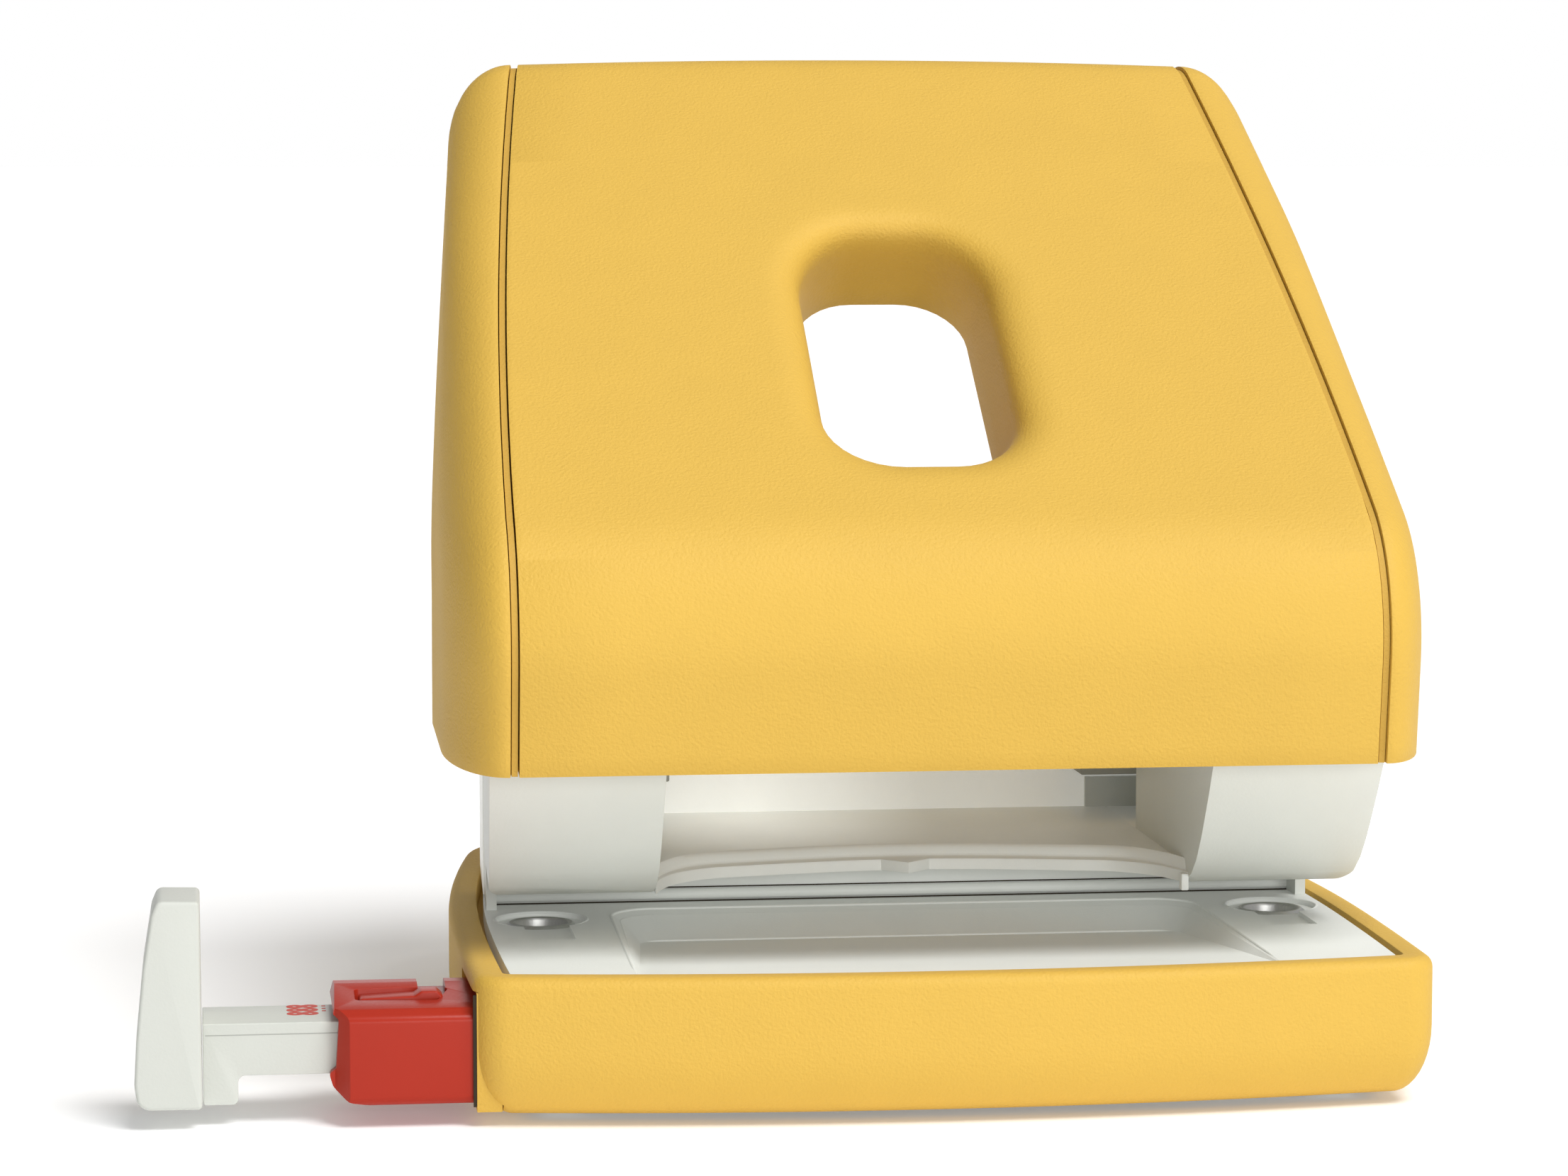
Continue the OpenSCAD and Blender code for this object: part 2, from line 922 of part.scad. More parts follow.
lever_arm();  // lever_arm_right
lever_crossbar();
lever_rivets();
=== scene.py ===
"""Looks of a two-hole paper punch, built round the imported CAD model.

Shapes are worked out in millimetres, in the frame of the model: X along the
paper's edge, Y away from the user, Z up, origin on the desk between the punches.
"""
import json
import math

import bmesh
import bpy
from mathutils import Matrix, Vector


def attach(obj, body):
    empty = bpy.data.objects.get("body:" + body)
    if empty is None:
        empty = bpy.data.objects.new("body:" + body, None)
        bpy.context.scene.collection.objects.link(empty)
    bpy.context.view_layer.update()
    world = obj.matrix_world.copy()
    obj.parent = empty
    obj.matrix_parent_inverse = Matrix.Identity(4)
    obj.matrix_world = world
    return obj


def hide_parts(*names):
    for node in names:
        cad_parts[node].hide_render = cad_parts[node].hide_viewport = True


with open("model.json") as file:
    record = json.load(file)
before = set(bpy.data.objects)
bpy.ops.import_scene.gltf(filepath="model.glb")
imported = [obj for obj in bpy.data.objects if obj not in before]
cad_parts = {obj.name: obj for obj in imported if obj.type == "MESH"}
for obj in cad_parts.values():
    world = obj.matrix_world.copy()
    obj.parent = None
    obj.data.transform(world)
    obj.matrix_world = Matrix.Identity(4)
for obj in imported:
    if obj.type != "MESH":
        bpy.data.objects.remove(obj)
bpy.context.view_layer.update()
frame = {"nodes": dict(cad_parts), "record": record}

MM = 0.001


# ------------------------------------------------------------------ materials
def new_material(name, color, roughness):
    """Material with a Principled shader; returns it with its nodes and a linker."""
    material = bpy.data.materials.new(name)
    material.use_nodes = True
    nodes = material.node_tree.nodes
    shader = nodes["Principled BSDF"]
    shader.inputs["Base Color"].default_value = (*color, 1)
    shader.inputs["Roughness"].default_value = roughness
    return material, nodes, material.node_tree.links, shader


def noise(nodes, links, scale, detail=3.0, stretch=(1, 1, 1)):
    """Noise in the piece's own coordinates; scale is in features per metre."""
    place = nodes.new("ShaderNodeTexCoord")
    mapping = nodes.new("ShaderNodeMapping")
    mapping.inputs["Scale"].default_value = stretch
    texture = nodes.new("ShaderNodeTexNoise")
    texture.inputs["Scale"].default_value = scale
    texture.inputs["Detail"].default_value = detail
    links.new(place.outputs["Object"], mapping.inputs["Vector"])
    links.new(mapping.outputs["Vector"], texture.inputs["Vector"])
    return texture.outputs["Fac"]


def ramp(nodes, links, value, low, high):
    """Maps a 0 to 1 value onto a colour ramp between two colours."""
    node = nodes.new("ShaderNodeValToRGB")
    for element, position, color in zip(node.color_ramp.elements, (0.3, 0.7), (low, high)):
        element.position = position
        element.color = (*color, 1)
    links.new(value, node.inputs["Fac"])
    return node.outputs["Color"]


def span(nodes, links, value, low, high, reach=(0.0, 1.0), kind="LINEAR"):
    """Maps a value that runs over its reach onto the range from low to high."""
    node = nodes.new("ShaderNodeMapRange")
    node.interpolation_type = kind
    for key, setting in (("From Min", reach[0]), ("From Max", reach[1]), ("To Min", low),
                         ("To Max", high)):
        node.inputs[key].default_value = setting
    links.new(value, node.inputs["Value"])
    return node.outputs["Result"]


def surface(name, colors, roughness, tone, grain, strength, depth):
    """Textured material: the tone noise mixes two colours, the grain noise is the relief.

    The roughness is a pair, its lowest and highest value; tone and grain are arguments
    for noise.
    """
    material, nodes, links, shader = new_material(name, colors[1], roughness[0])
    mixed = ramp(nodes, links, noise(nodes, links, *tone), *colors)
    links.new(mixed, shader.inputs["Base Color"])
    fine = noise(nodes, links, *grain)
    links.new(span(nodes, links, fine, *roughness), shader.inputs["Roughness"])
    bump = nodes.new("ShaderNodeBump")
    bump.inputs["Strength"].default_value = strength
    bump.inputs["Distance"].default_value = depth
    links.new(fine, bump.inputs["Height"])
    links.new(bump.outputs["Normal"], shader.inputs["Normal"])
    return material, shader


def plastic(name, color, roughness, grain, depth, mottle=0.03, coat=0.0, specular=0.3):
    """Moulded plastic or paint: fine grain in the bump, faint mottling in the colour."""
    darker = [c * (1 - mottle) for c in color]
    lighter = [min(1, c * (1 + mottle)) for c in color]
    material, shader = surface(name, (darker, lighter), (roughness - 0.07, roughness + 0.07),
                               (130, 4), (grain, 2.5), 1.0, depth)
    shader.inputs["Specular IOR Level"].default_value = specular
    shader.inputs["Coat Weight"].default_value = coat
    shader.inputs["Coat Roughness"].default_value = 0.12
    return material


def metal(name, color, roughness, stretch):
    """Steel with fine tool marks drawn out along one direction."""
    marks = (900, 4, stretch)
    material, shader = surface(name, ([c * 0.88 for c in color], color),
                               (roughness - 0.08, roughness + 0.12), marks, marks, 0.6,
                               0.00003)
    shader.inputs["Metallic"].default_value = 1.0
    return material


PALE_SKIN = {"grain": 3200, "depth": 0.00002, "mottle": 0.015}
YELLOW = plastic("yellow_matt_paint", (0.645, 0.404, 0.066), 0.6, 3000, 0.00009, 0.012)
# painted shade: a darker copy of the yellow, for the recessed seam strips
YELLOW_SHADED = plastic("yellow_seam_painted_shade", (0.53, 0.325, 0.052), 0.6, 3000, 0.00008)
WHITE_WALL = plastic("rear_wall_plastic", (0.90, 0.91, 0.88), 0.45, **PALE_SKIN)
PALE = plastic("pale_grey_plastic", (0.72, 0.74, 0.705), 0.42, **PALE_SKIN)
GUIDE_GREY = plastic("guide_plastic", (0.56, 0.575, 0.53), 0.45, **PALE_SKIN)
GREY = plastic("grey_plastic", (0.715, 0.735, 0.695), 0.42, **PALE_SKIN)
# painted shade: dark grey for the bar's groove line and for the shaded web behind each tower
SHADE_GREY = plastic("painted_shade_grey", (0.36, 0.37, 0.34), 0.7, 3200, 0.00002, 0.02)
RED = plastic("red_plastic", (0.37, 0.026, 0.012), 0.34, 2600, 0.000004, 0.02, 0.03, 0.16)
RED_INK = plastic("red_ink", (0.50, 0.05, 0.03), 0.5, 2600, 0.00001, 0.02)
# painted shade: near-black strips for the shadowed gap at the lock's port and beside the stop
# rail's foot
GAP_SHADE = plastic("painted_gap_shade", (0.03, 0.022, 0.012), 0.8, 2000, 0.00001)
RUBBER = plastic("grip_rubber", (0.035, 0.036, 0.038), 0.75, 1500, 0.00015, 0.1)
STEEL = metal("ground_steel", (0.66, 0.66, 0.66), 0.3, (1, 8, 1))
DIE_STEEL = metal("die_steel", (0.7, 0.7, 0.68), 0.42, (1, 8, 1))
SPRING = metal("spring_wire", (0.42, 0.42, 0.44), 0.32, (6, 6, 1))


def glow(material, strength):
    """Faint light of its own, which brings a pale part up to its brightness in the photo."""
    shader = material.node_tree.nodes["Principled BSDF"]
    shader.inputs["Emission Color"].default_value = (1, 1, 0.95, 1)
    shader.inputs["Emission Strength"].default_value = strength


# painted light: the rear wall and the pale plate parts glow faintly, lifting their shaded areas
WALL_GLOW, PLATE_GLOW = 0.17, 0.06
glow(WHITE_WALL, WALL_GLOW)
glow(PALE, PLATE_GLOW)

SLOT_MATERIALS = {
    "yellow_shell": YELLOW,
    "grey_plastic": GREY,
    "red_plastic": RED,
    "steel": STEEL,
    "spring_steel": SPRING,
    "grip": RUBBER,
}


# -------------------------------------------------------------- mesh helpers
class Shape:
    """Vertices in millimetres and faces, gathered before a piece is made."""

    def __init__(self):
        self.verts = []
        self.faces = []

    def grid(self, rows, closed=False):
        """Quads between rows of points; closed joins each row's end to its start."""
        start = len(self.verts)
        width = len(rows[0])
        for row in rows:
            self.verts.extend(row)
        steps = width if closed else width - 1
        for r in range(len(rows) - 1):
            for c in range(steps):
                a = start + r * width + c
                b = start + r * width + (c + 1) % width
                self.faces.append((a, b, b + width, a + width))

    def cap(self, points):
        """One flat face round a loop of points."""
        start = len(self.verts)
        self.verts.extend(points)
        self.faces.append(tuple(range(start, start + len(points))))

    def tube(self, rows):
        """Closed rows with a flat face at either end."""
        self.grid(rows, closed=True)
        self.cap(rows[0])
        self.cap(rows[-1])
        return self


MERGE = 0.002                    # points closer than this become one


def linked(name, data):
    """New object, put in the scene."""
    obj = bpy.data.objects.new(name, data)
    bpy.context.scene.collection.objects.link(obj)
    return obj


def make(name, shape):
    """Object from a Shape, with doubled points merged and normals made consistent."""
    mesh = bpy.data.meshes.new(name)
    mesh.from_pydata([Vector(v) * MM for v in shape.verts], [], shape.faces)
    bm = bmesh.new()
    bm.from_mesh(mesh)
    bmesh.ops.remove_doubles(bm, verts=bm.verts, dist=MERGE * MM)
    bmesh.ops.dissolve_degenerate(bm, edges=bm.edges, dist=MERGE * MM)
    bmesh.ops.recalc_face_normals(bm, faces=bm.faces)
    bm.to_mesh(mesh)
    bm.free()
    return linked(name, mesh)


def modify(obj, kind, **settings):
    """Adds one modifier and bakes its result into the mesh."""
    modifier = obj.modifiers.new(kind.lower(), kind)
    for key, value in settings.items():
        setattr(modifier, key, value)
    bpy.context.view_layer.update()
    graph = bpy.context.evaluated_depsgraph_get()
    baked = bpy.data.meshes.new_from_object(obj.evaluated_get(graph))
    obj.modifiers.clear()
    obj.data = baked


def bevel(obj, width, segments=3, angle=30):
    modify(obj, "BEVEL", width=width * MM, segments=segments, limit_method="ANGLE",
           angle_limit=math.radians(angle), use_clamp_overlap=True)


def point_out(obj, centre):
    """Turns a skin's faces so that they look away from a point, given in metres."""
    if sum((f.center - centre).normalized().dot(f.normal) * f.area
           for f in obj.data.polygons) < 0:
        obj.data.flip_normals()


def thicken(obj, depth):
    """Gives a skin its thickness on the inner side."""
    modify(obj, "SOLIDIFY", thickness=depth * MM, offset=-1.0, use_even_offset=True,
           use_rim=True)


def cut(obj, cutter, operation="DIFFERENCE"):
    """Boolean with a closed solid, which is used up."""
    modify(obj, "BOOLEAN", object=cutter, operation=operation, solver="EXACT")
    bpy.data.objects.remove(cutter)


def mirrored(obj, name):
    """Copy of a piece on the other side of the middle plane."""
    copy = linked(name, obj.data.copy())
    bm = bmesh.new()
    bm.from_mesh(copy.data)
    for v in bm.verts:
        v.co.x = -v.co.x
    bmesh.ops.reverse_faces(bm, faces=bm.faces)
    bm.to_mesh(copy.data)
    bm.free()
    return copy


def finish_piece(obj, body, material, replaced=(), sharp=32):
    """Shades a piece smooth, keeps its sharp edges, and puts it on its body."""
    obj.data.materials.clear()
    obj.data.materials.append(material)
    for face in obj.data.polygons:
        face.use_smooth = True
    obj.data.set_sharp_from_angle(angle=math.radians(sharp))
    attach(obj, body)
    if replaced:
        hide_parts(*replaced)


def grey_piece(obj, material, replaced=(), sharp=32):
    """Finishes a pale or grey piece of the base."""
    finish_piece(obj, "base", material, replaced, sharp)


def prism(outline, axis, low, high, name="cutter"):
    """Closed solid from an outline drawn across one axis.

    The outline's pairs are (y, z) for axis 0, (x, z) for axis 1 and (x, y) for axis 2.
    """
    def place(pair, level):
        point = list(pair)
        point.insert(axis, level)
        return tuple(point)

    return make(name, Shape().tube([[place(p, level) for p in outline]
                                    for level in (low, high)]))


def solid_box(low, high, name="cutter"):
    """Closed box between two opposite corners."""
    (x0, y0, z0), (x1, y1, z1) = low, high
    return prism([(x0, y0), (x1, y0), (x1, y1), (x0, y1)], 2, z0, z1, name)


def rounded(points, radii, steps=5):
    """Outline with its corners rounded; radii is one number or one per corner."""
    if not isinstance(radii, (list, tuple)):
        radii = [radii] * len(points)
    result = []
    count = len(points)
    for i, (point, radius) in enumerate(zip(points, radii)):
        p = Vector(point)
        back = (Vector(points[i - 1]) - p)
        ahead = (Vector(points[(i + 1) % count]) - p)
        turn = back.angle(ahead)
        reach = radius / math.tan(turn / 2) if radius else 0
        reach = min(reach, back.length * 0.49, ahead.length * 0.49)
        if reach < 0.01:
            result.append(tuple(p))
            continue
        start = p + back.normalized() * reach
        end = p + ahead.normalized() * reach
        r = reach * math.tan(turn / 2)
        centre = p + (back.normalized() + ahead.normalized()).normalized() * (
            math.hypot(reach, r))
        a0 = math.atan2(start.y - centre.y, start.x - centre.x)
        a1 = math.atan2(end.y - centre.y, end.x - centre.x)
        sweep = (a1 - a0 + math.pi) % (2 * math.pi) - math.pi
        for k in range(steps + 1):
            a = a0 + sweep * k / steps
            result.append((centre.x + r * math.cos(a), centre.y + r * math.sin(a)))
    return result


def resampled(loop, longest):
    """Closed loop with its long edges split into equal shorter ones."""
    result = []
    for a, b in zip(loop, loop[1:] + loop[:1]):
        pieces = max(1, math.ceil(math.dist(a, b) / longest))
        result.extend(tuple(lerp(p, q, k / pieces) for p, q in zip(a, b))
                      for k in range(pieces))
    return result


def side_name(side):
    return "right" if side > 0 else "left"


def lerp(a, b, t):
    return a + (b - a) * t


def smooth(t):
    t = min(1.0, max(0.0, t))
    return t * t * (3 - 2 * t)


def on_circle(x, y, r, degrees):
    """Point of a circle about (x, y)."""
    a = math.radians(degrees)
    return x + r * math.cos(a), y + r * math.sin(a)


def towards(angle):
    """Unit vector at an angle from the first axis."""
    return Vector((math.cos(angle), math.sin(angle)))


# ------------------------------------------------------------ handle profile
LEAN = math.radians(33.4)        # slope of the handle's top face
BEND_C, BEND_R = Vector((-15.6, 46.9)), 16.0
END_C, END_R = Vector((49.9, 100.9)), 7.0
FOOT_Z = 34.4                    # lower edge of the handle's front wall
FRONT_TILT = math.radians(8)     # forward lean of the lower front wall
SHELL = 2.2
ALONG = towards(LEAN)
OUTWARD = Vector((-math.sin(LEAN), math.cos(LEAN)))
FACE_START = BEND_C + BEND_R * OUTWARD
FACE_LENGTH = (END_C - FACE_START).dot(ALONG)
BEND_ANGLE = math.radians(90) - LEAN + FRONT_TILT
BEND_LENGTH = BEND_R * BEND_ANGLE
FRONT_OUT = Vector((-math.cos(FRONT_TILT), -math.sin(FRONT_TILT)))
BEND_END = BEND_C + BEND_R * FRONT_OUT
FRONT_DOWN = Vector((math.sin(FRONT_TILT), -math.cos(FRONT_TILT)))
FRONT_LENGTH = (BEND_END.y - FOOT_Z) / math.cos(FRONT_TILT)
S_FOOT = -BEND_LENGTH - FRONT_LENGTH
S_TIP = FACE_LENGTH + END_R * math.pi / 2
CROWN, CROWN_HALF = 0.8, 44.0    # how much the top edge drops at this distance from its middle
PANEL_W, PANEL_TAPER = 44.2, (0.0154, 0.00054)   # half width, and its loss up the face
STRIP_W = 0.95


def panel_half(s):
    """Half width of the top panel at a distance up its face."""
    s = max(0.0, s)
    return PANEL_W - PANEL_TAPER[0] * s - PANEL_TAPER[1] * s * s


def profile(s):
    """Point (y, z) and outward direction of the handle's profile at arc length s."""
    if s < -BEND_LENGTH:
        return BEND_END + FRONT_DOWN * (-BEND_LENGTH - s), FRONT_OUT
    if s < 0:
        angle = math.radians(90) + LEAN - s / BEND_R
        across = towards(angle)
        return BEND_C + BEND_R * across, across
    if s < FACE_LENGTH:
        return FACE_START + ALONG * s, OUTWARD
    angle = math.radians(90) + LEAN - (s - FACE_LENGTH) / END_R
    across = towards(angle)
    return END_C + END_R * across, across


def crown(x, s):
    """Drop of the handle's skin below its middle line, growing up the face."""
    rise = smooth((s - S_FOOT) / (S_TIP - S_FOOT))
    return -CROWN * rise * (x / CROWN_HALF) ** 2


def skin(x, s, depth=0.0):
    """Point on the handle's crowned skin, or below it."""
    point, across = profile(s)
    point = point + across * (crown(x, s) - depth)
    return (x, point.x, point.y)


def stations(points):
    """Values between listed stops: pairs of (stop, steps up to the next stop)."""
    values = []
    for (a, steps), (b, _) in zip(points, points[1:]):
        values.extend(lerp(a, b, k / steps) for k in range(steps))
    values.append(points[-1][0])
    return values


PROFILE_STOPS = [(S_FOOT, 4), (-BEND_LENGTH, 14), (0.0, 30), (FACE_LENGTH, 10), (S_TIP, 0)]


# --------------------------------------------------------------- finger hole
HOLE_TILT = math.radians(25)
HOLE_DIR = Vector((math.cos(HOLE_TILT), -math.sin(HOLE_TILT)))
HOLE_UP = Vector((math.sin(HOLE_TILT), math.cos(HOLE_TILT)))
HOLE_S = 28.5                    # its middle, up the face
HOLE_HALF_W, HOLE_HALF_H, HOLE_R = 9.7, 16.1, 7.2
HOLE_FLARE = 3.6                 # how far the hole's upper wall opens towards the face
HOLE_SPREAD = 1.09               # how much wider the hole is at the face
HOLE_FILLET = 4.6
HOLE_WALL = 2 * END_R - 1.0      # depth of the hole's wall below the face


def hole_contour(grow=0.0):
    """Loop (x, b) round the finger hole, b square to the hole's direction."""
    w, h = HOLE_HALF_W + grow, HOLE_HALF_H + grow
    return rounded([(w, -h), (w, h), (-w, h), (-w, -h)], HOLE_R + grow, 9)


def hole_on_face(x, b, depth=0.0):
    """Where the hole's wall line meets the plane at a depth below the top face."""
    shift = -(b * OUTWARD.dot(HOLE_UP) + depth) / OUTWARD.dot(HOLE_DIR)
    return FACE_START + ALONG * HOLE_S + HOLE_UP * b + HOLE_DIR * shift


def flared(b):
    """Height of a point of the hole's outline where it meets the face."""
    return b + HOLE_FLARE * max(0.0, b / HOLE_HALF_H) ** 2


def face_distance(point):
    return (point - FACE_START).dot(ALONG)


def outward_in_face(loop):
    """Unit vectors pointing away from a counter-clockwise loop of (x, s) pairs."""
    count = len(loop)
    away = []
    for i in range(count):
        ahead = Vector(loop[(i + 1) % count]) - Vector(loop[i - 1])
        away.append(Vector((ahead.y, -ahead.x)).normalized())
    return away


def to_border(x, s, centre_s, s_low, s_high):
    """Goes on from the hole's middle through (x, s) to the border of the face."""
    step = Vector((x, s - centre_s))
    low, high = 1.0, 60.0
    for _ in range(40):
        t = (low + high) / 2
        px, ps = step.x * t, centre_s + step.y * t
        inside = s_low < ps < s_high and abs(px) < panel_half(ps)
        low, high = (t, high) if inside else (low, t)
    return step.x * low, centre_s + step.y * low


def build_handle_panel():
    s_low, s_high = -6.0, 66.0       # the stretch that holds the finger hole
    shape = Shape()
    # face round the hole: rim loop, fillet and rings out to the border
    contour = resampled(hole_contour(), 1.6)
    rim = [(x * HOLE_SPREAD, face_distance(hole_on_face(x, flared(b)))) for x, b in contour]
    away = outward_in_face(rim)
    centre_s = face_distance(hole_on_face(0, 0))
    start = [(x + a.x * HOLE_FILLET, s + a.y * HOLE_FILLET) for (x, s), a in zip(rim, away)]
    border = [to_border(x, s, centre_s, s_low, s_high) for x, s in start]
    for corner in [(sx * panel_half(s), s) for sx in (-1, 1) for s in (s_low, s_high)]:
        nearest = min(range(len(border)), key=lambda i: math.dist(border[i], corner))
        border[nearest] = corner
    # front wall and bend, and the upper stretch, sharing the border's points
    for edge, stops in ((s_low, [(S_FOOT, 5), (-BEND_LENGTH, 10), (s_low, 0)]),
                        (s_high, [(s_high, 8), (FACE_LENGTH, 10), (S_TIP, 0)])):
        shared = sorted({round(x / panel_half(edge), 9) for x, s in border
                         if abs(s - edge) < 0.001})
        rows = [[skin(f * panel_half(s), s) for f in shared] for s in stations(stops)]
        shape.grid(rows)
    rings = []
    for k in range(13):
        t = 1 - (k / 12) ** 1.6
        rings.append([skin(lerp(a[0], b[0], t), lerp(a[1], b[1], t))
                      for a, b in zip(start, border)])
    # fillet: a curve from the face, round the rim, to the hole's wall
    for k in range(1, 11):
        t = k / 10
        ring = []
        for (x, b), (rx, rs), (ax, as_) in zip(contour, rim, start):
            on_face = Vector(skin(ax, as_))
            corner = Vector(skin(rx, rs))
            far = hole_on_face(x, b, HOLE_WALL)
            wall = (Vector((x, far.x, far.y)) - corner).normalized()
            inner = corner + wall * HOLE_FILLET
            ring.append(tuple(on_face * (1 - t) ** 2 + corner * (2 * t * (1 - t))
                              + inner * t ** 2))
        rings.append(ring)
    fillet_end = rings[-1]
    for k in range(1, 4):
        ring = []
        for i, (x, b) in enumerate(contour):
            top = Vector(fillet_end[i])
            far = hole_on_face(x, b, HOLE_WALL)
            bottom = Vector((x, far.x, far.y))
            ring.append(tuple(top.lerp(bottom, k / 3)))
        rings.append(ring)
    shape.grid(rings, closed=True)
    panel = make("handle_panel_shell", shape)
    modify(panel, "WELD", merge_threshold=0.05 * MM)
    thicken(panel, SHELL)
    bevel(panel, 0.3, 2, 50)
    finish_piece(panel, "handle", YELLOW, ["handle_panel"])


# ------------------------------------------------------------------ handle
SIDE_GAP = 0.16                  # open joint on either side of a seam strip
COVER_W, COVER_TAPER = 51.3, (0.046, 0.00011)    # half width over the side covers
COVER_TIP = 16                   # stretch below the tip where they round in
BACK_LINE = [(9.6, 36.0), (10.2, 49.5), (18.6, 64.5), (54.6, 95.5)]


def along_polyline(points, t):
    """Point at a fraction of a polyline's length."""
    lengths = [math.dist(a, b) for a, b in zip(points, points[1:])]
    left = t * sum(lengths)
    for (a, b), length in zip(zip(points, points[1:]), lengths):
        if left <= length:
            break
        left -= length
    t = min(1.0, left / length)
    return Vector((lerp(a[0], b[0], t), lerp(a[1], b[1], t)))


def cover_back(s):
    """Point (y, z) of a side cover's back edge that goes with a station."""
    if s < FACE_LENGTH:
        line = rounded(BACK_LINE, [0, 9, 12, 0], 8)
        return along_polyline(line, (s - S_FOOT) / (FACE_LENGTH - S_FOOT))
    t = (s - FACE_LENGTH) / (S_TIP - FACE_LENGTH)
    angle = LEAN - math.radians(90) + t * math.radians(89)
    return END_C + END_R * towards(angle)


def cover_half(s):
    """Half width over the side covers at a station."""
    seam = panel_half(s) + STRIP_W
    rise = (s + math.hypot(s, 10)) / 2
    width = COVER_W - COVER_TAPER[0] * rise - COVER_TAPER[1] * rise * rise
    tip = S_TIP - COVER_TIP
    if s > tip:
        t = min(1.0, (s - tip) / COVER_TIP)
        width = seam + 0.25 + (width - seam - 0.25) * math.sqrt(max(0.0, 1 - t * t))
    return width


def cover_section(s):
    """Points of a side cover from the seam to its back edge."""
    front = Vector(skin(panel_half(s) + STRIP_W, s)[1:])
    back = cover_back(s)
    depth = (back - front).length
    seam = panel_half(s) + STRIP_W
    width = cover_half(s)
    # how deep the rounded front and back edges are
    near = min(lerp(17.0, 7.4, smooth(s / 60)), depth * 0.65)
    far = min(5.0, depth * 0.3)
    fall = smooth((s - 30) / (FACE_LENGTH - 30))
    back_x = lerp(width - 1.3, seam, fall)
    points = []
    for k in range(17):
        a = math.radians(90) * k / 16
        points.append((seam + (width - seam) * math.sin(a), near * (1 - math.cos(a))))
    for k in range(1, 4):
        points.append((width, lerp(near, depth - far, k / 3)))
    for k in range(1, 9):
        a = math.radians(90) * k / 8
        points.append((back_x + (width - back_x) * math.cos(a),
                       depth - far + far * math.sin(a)))
    across = (back - front).normalized()
    return [(x, front.x + across.x * d, front.y + across.y * d) for x, d in points]


def build_side_cover():
    shape = Shape()
    stops = [(S_FOOT, 6), (-BEND_LENGTH, 14), (0.0, 24), (S_TIP - COVER_TIP, 24),
             (S_TIP, 0)]
    shape.grid([cover_section(s) for s in stations(stops)])
    cover = make("handle_cover_right", shape)
    point_out(cover, Vector((0, 0.02, 0.07)))
    thicken(cover, 1.9)
    bevel(cover, 0.3, 2, 50)
    return cover


def build_seam_strip():
    rows = []
    for s in stations(PROFILE_STOPS):
        low = panel_half(s) + SIDE_GAP
        high = panel_half(s) + STRIP_W - SIDE_GAP
        rows.append([skin(lerp(low, high, k / 4), s, 0.4) for k in range(5)]
                    + [skin(high, s, 2.35), skin(high + 1.5, s, 2.4), skin(high + 1.5, s, 3.0),
                       skin(low - 1.5, s, 3.0), skin(low - 1.5, s, 2.4), skin(low, s, 2.35)])
    return make("seam_strip_right_piece", Shape().tube(rows))


def hole_solid(grow):
    """Closed tube along the finger hole's direction, for cutting."""
    ends = []
    for reach in (-40, 40):
        ring = []
        for x, b in hole_contour(grow):
            p = FACE_START + ALONG * HOLE_S + HOLE_UP * b + HOLE_DIR * (reach + END_R)
            ring.append((x, p.x, p.y))
        ends.append(ring)
    return make("cutter", Shape().tube(ends))


def build_back_cover():
    """Back face of the handle, from its tip down to above the lever's pivot."""
    low = Vector((11.2, 67.0))
    length = (END_C - END_R * OUTWARD - low).dot(ALONG)
    rows = []
    for k in range(13):
        angle = LEAN - math.radians(90) * k / 12
        s = S_TIP - (S_TIP - FACE_LENGTH) * 0.2 * k / 12
        place = END_C + END_R * towards(angle)
        rows.append((s, place))
    for k in range(1, 17):
        place = END_C - END_R * OUTWARD - ALONG * (length * k / 16)
        rows.append((FACE_LENGTH - length * k / 16, place))
    shape = Shape()
    grid = []
    for s, place in rows:
        half = panel_half(s) + STRIP_W - SIDE_GAP
        wide = smooth((60 - s) / 30) * (cover_half(s) - 2.4 - half)
        half += max(0.0, wide)
        grid.append([(f * half, place.x, place.y) for f in (-1, -0.6, -0.2, 0.2, 0.6, 1)])
    shape.grid(grid)
    cover = make("handle_back_shell", shape)
    point_out(cover, Vector((0, 0.02, 0.09)))
    thicken(cover, 1.8)
    cut(cover, hole_solid(SHELL + 0.15))
    bevel(cover, 0.3, 2, 40)
    finish_piece(cover, "handle", YELLOW, ["handle_back_cover"])


build_handle_panel()
build_back_cover()
cover = build_side_cover()
finish_piece(mirrored(cover, "handle_cover_left"), "handle", YELLOW,
             ["handle_left_cover"], 40)
finish_piece(cover, "handle", YELLOW, ["handle_right_cover"], 40)
# the seam strips take the darker yellow, painted shade for their recess
strip = build_seam_strip()
finish_piece(mirrored(strip, "seam_strip_left_piece"), "handle",
             YELLOW_SHADED, ["seam_strip_left"])
finish_piece(strip, "handle", YELLOW_SHADED, ["seam_strip_right"])


# -------------------------------------------------------------------- base
BASE_HALF, BASE_FRONT, BASE_BACK = 49.7, 40.6, 62.0
FRONT_R, FRONT_SIDE_R, SIDE_R, REAR_R = 300.0, 950.0, 350.0, 500.0
CORNER_R, REAR_CORNER_R = 4.2, 14.0
FRONT_C = Vector((0, FRONT_R - BASE_FRONT))
REAR_C = Vector((0, BASE_BACK - REAR_R))
FRONT_SIDE_C = Vector((BASE_HALF - FRONT_SIDE_R, -5))
SIDE_C = Vector((BASE_HALF - SIDE_R, -5))
BASE_TOP, PLATE_Z, SLOT_Z = 15.2, 15.0, 19.2     # SLOT_Z is the roof of the paper slot
ROLL_IN, ROLL_UP, BASE_FOOT = 4.0, 7.0, 0.9      # rounding of the base's lower edge
PLATE_INSET = 3.8
DECK_Y = 39.2
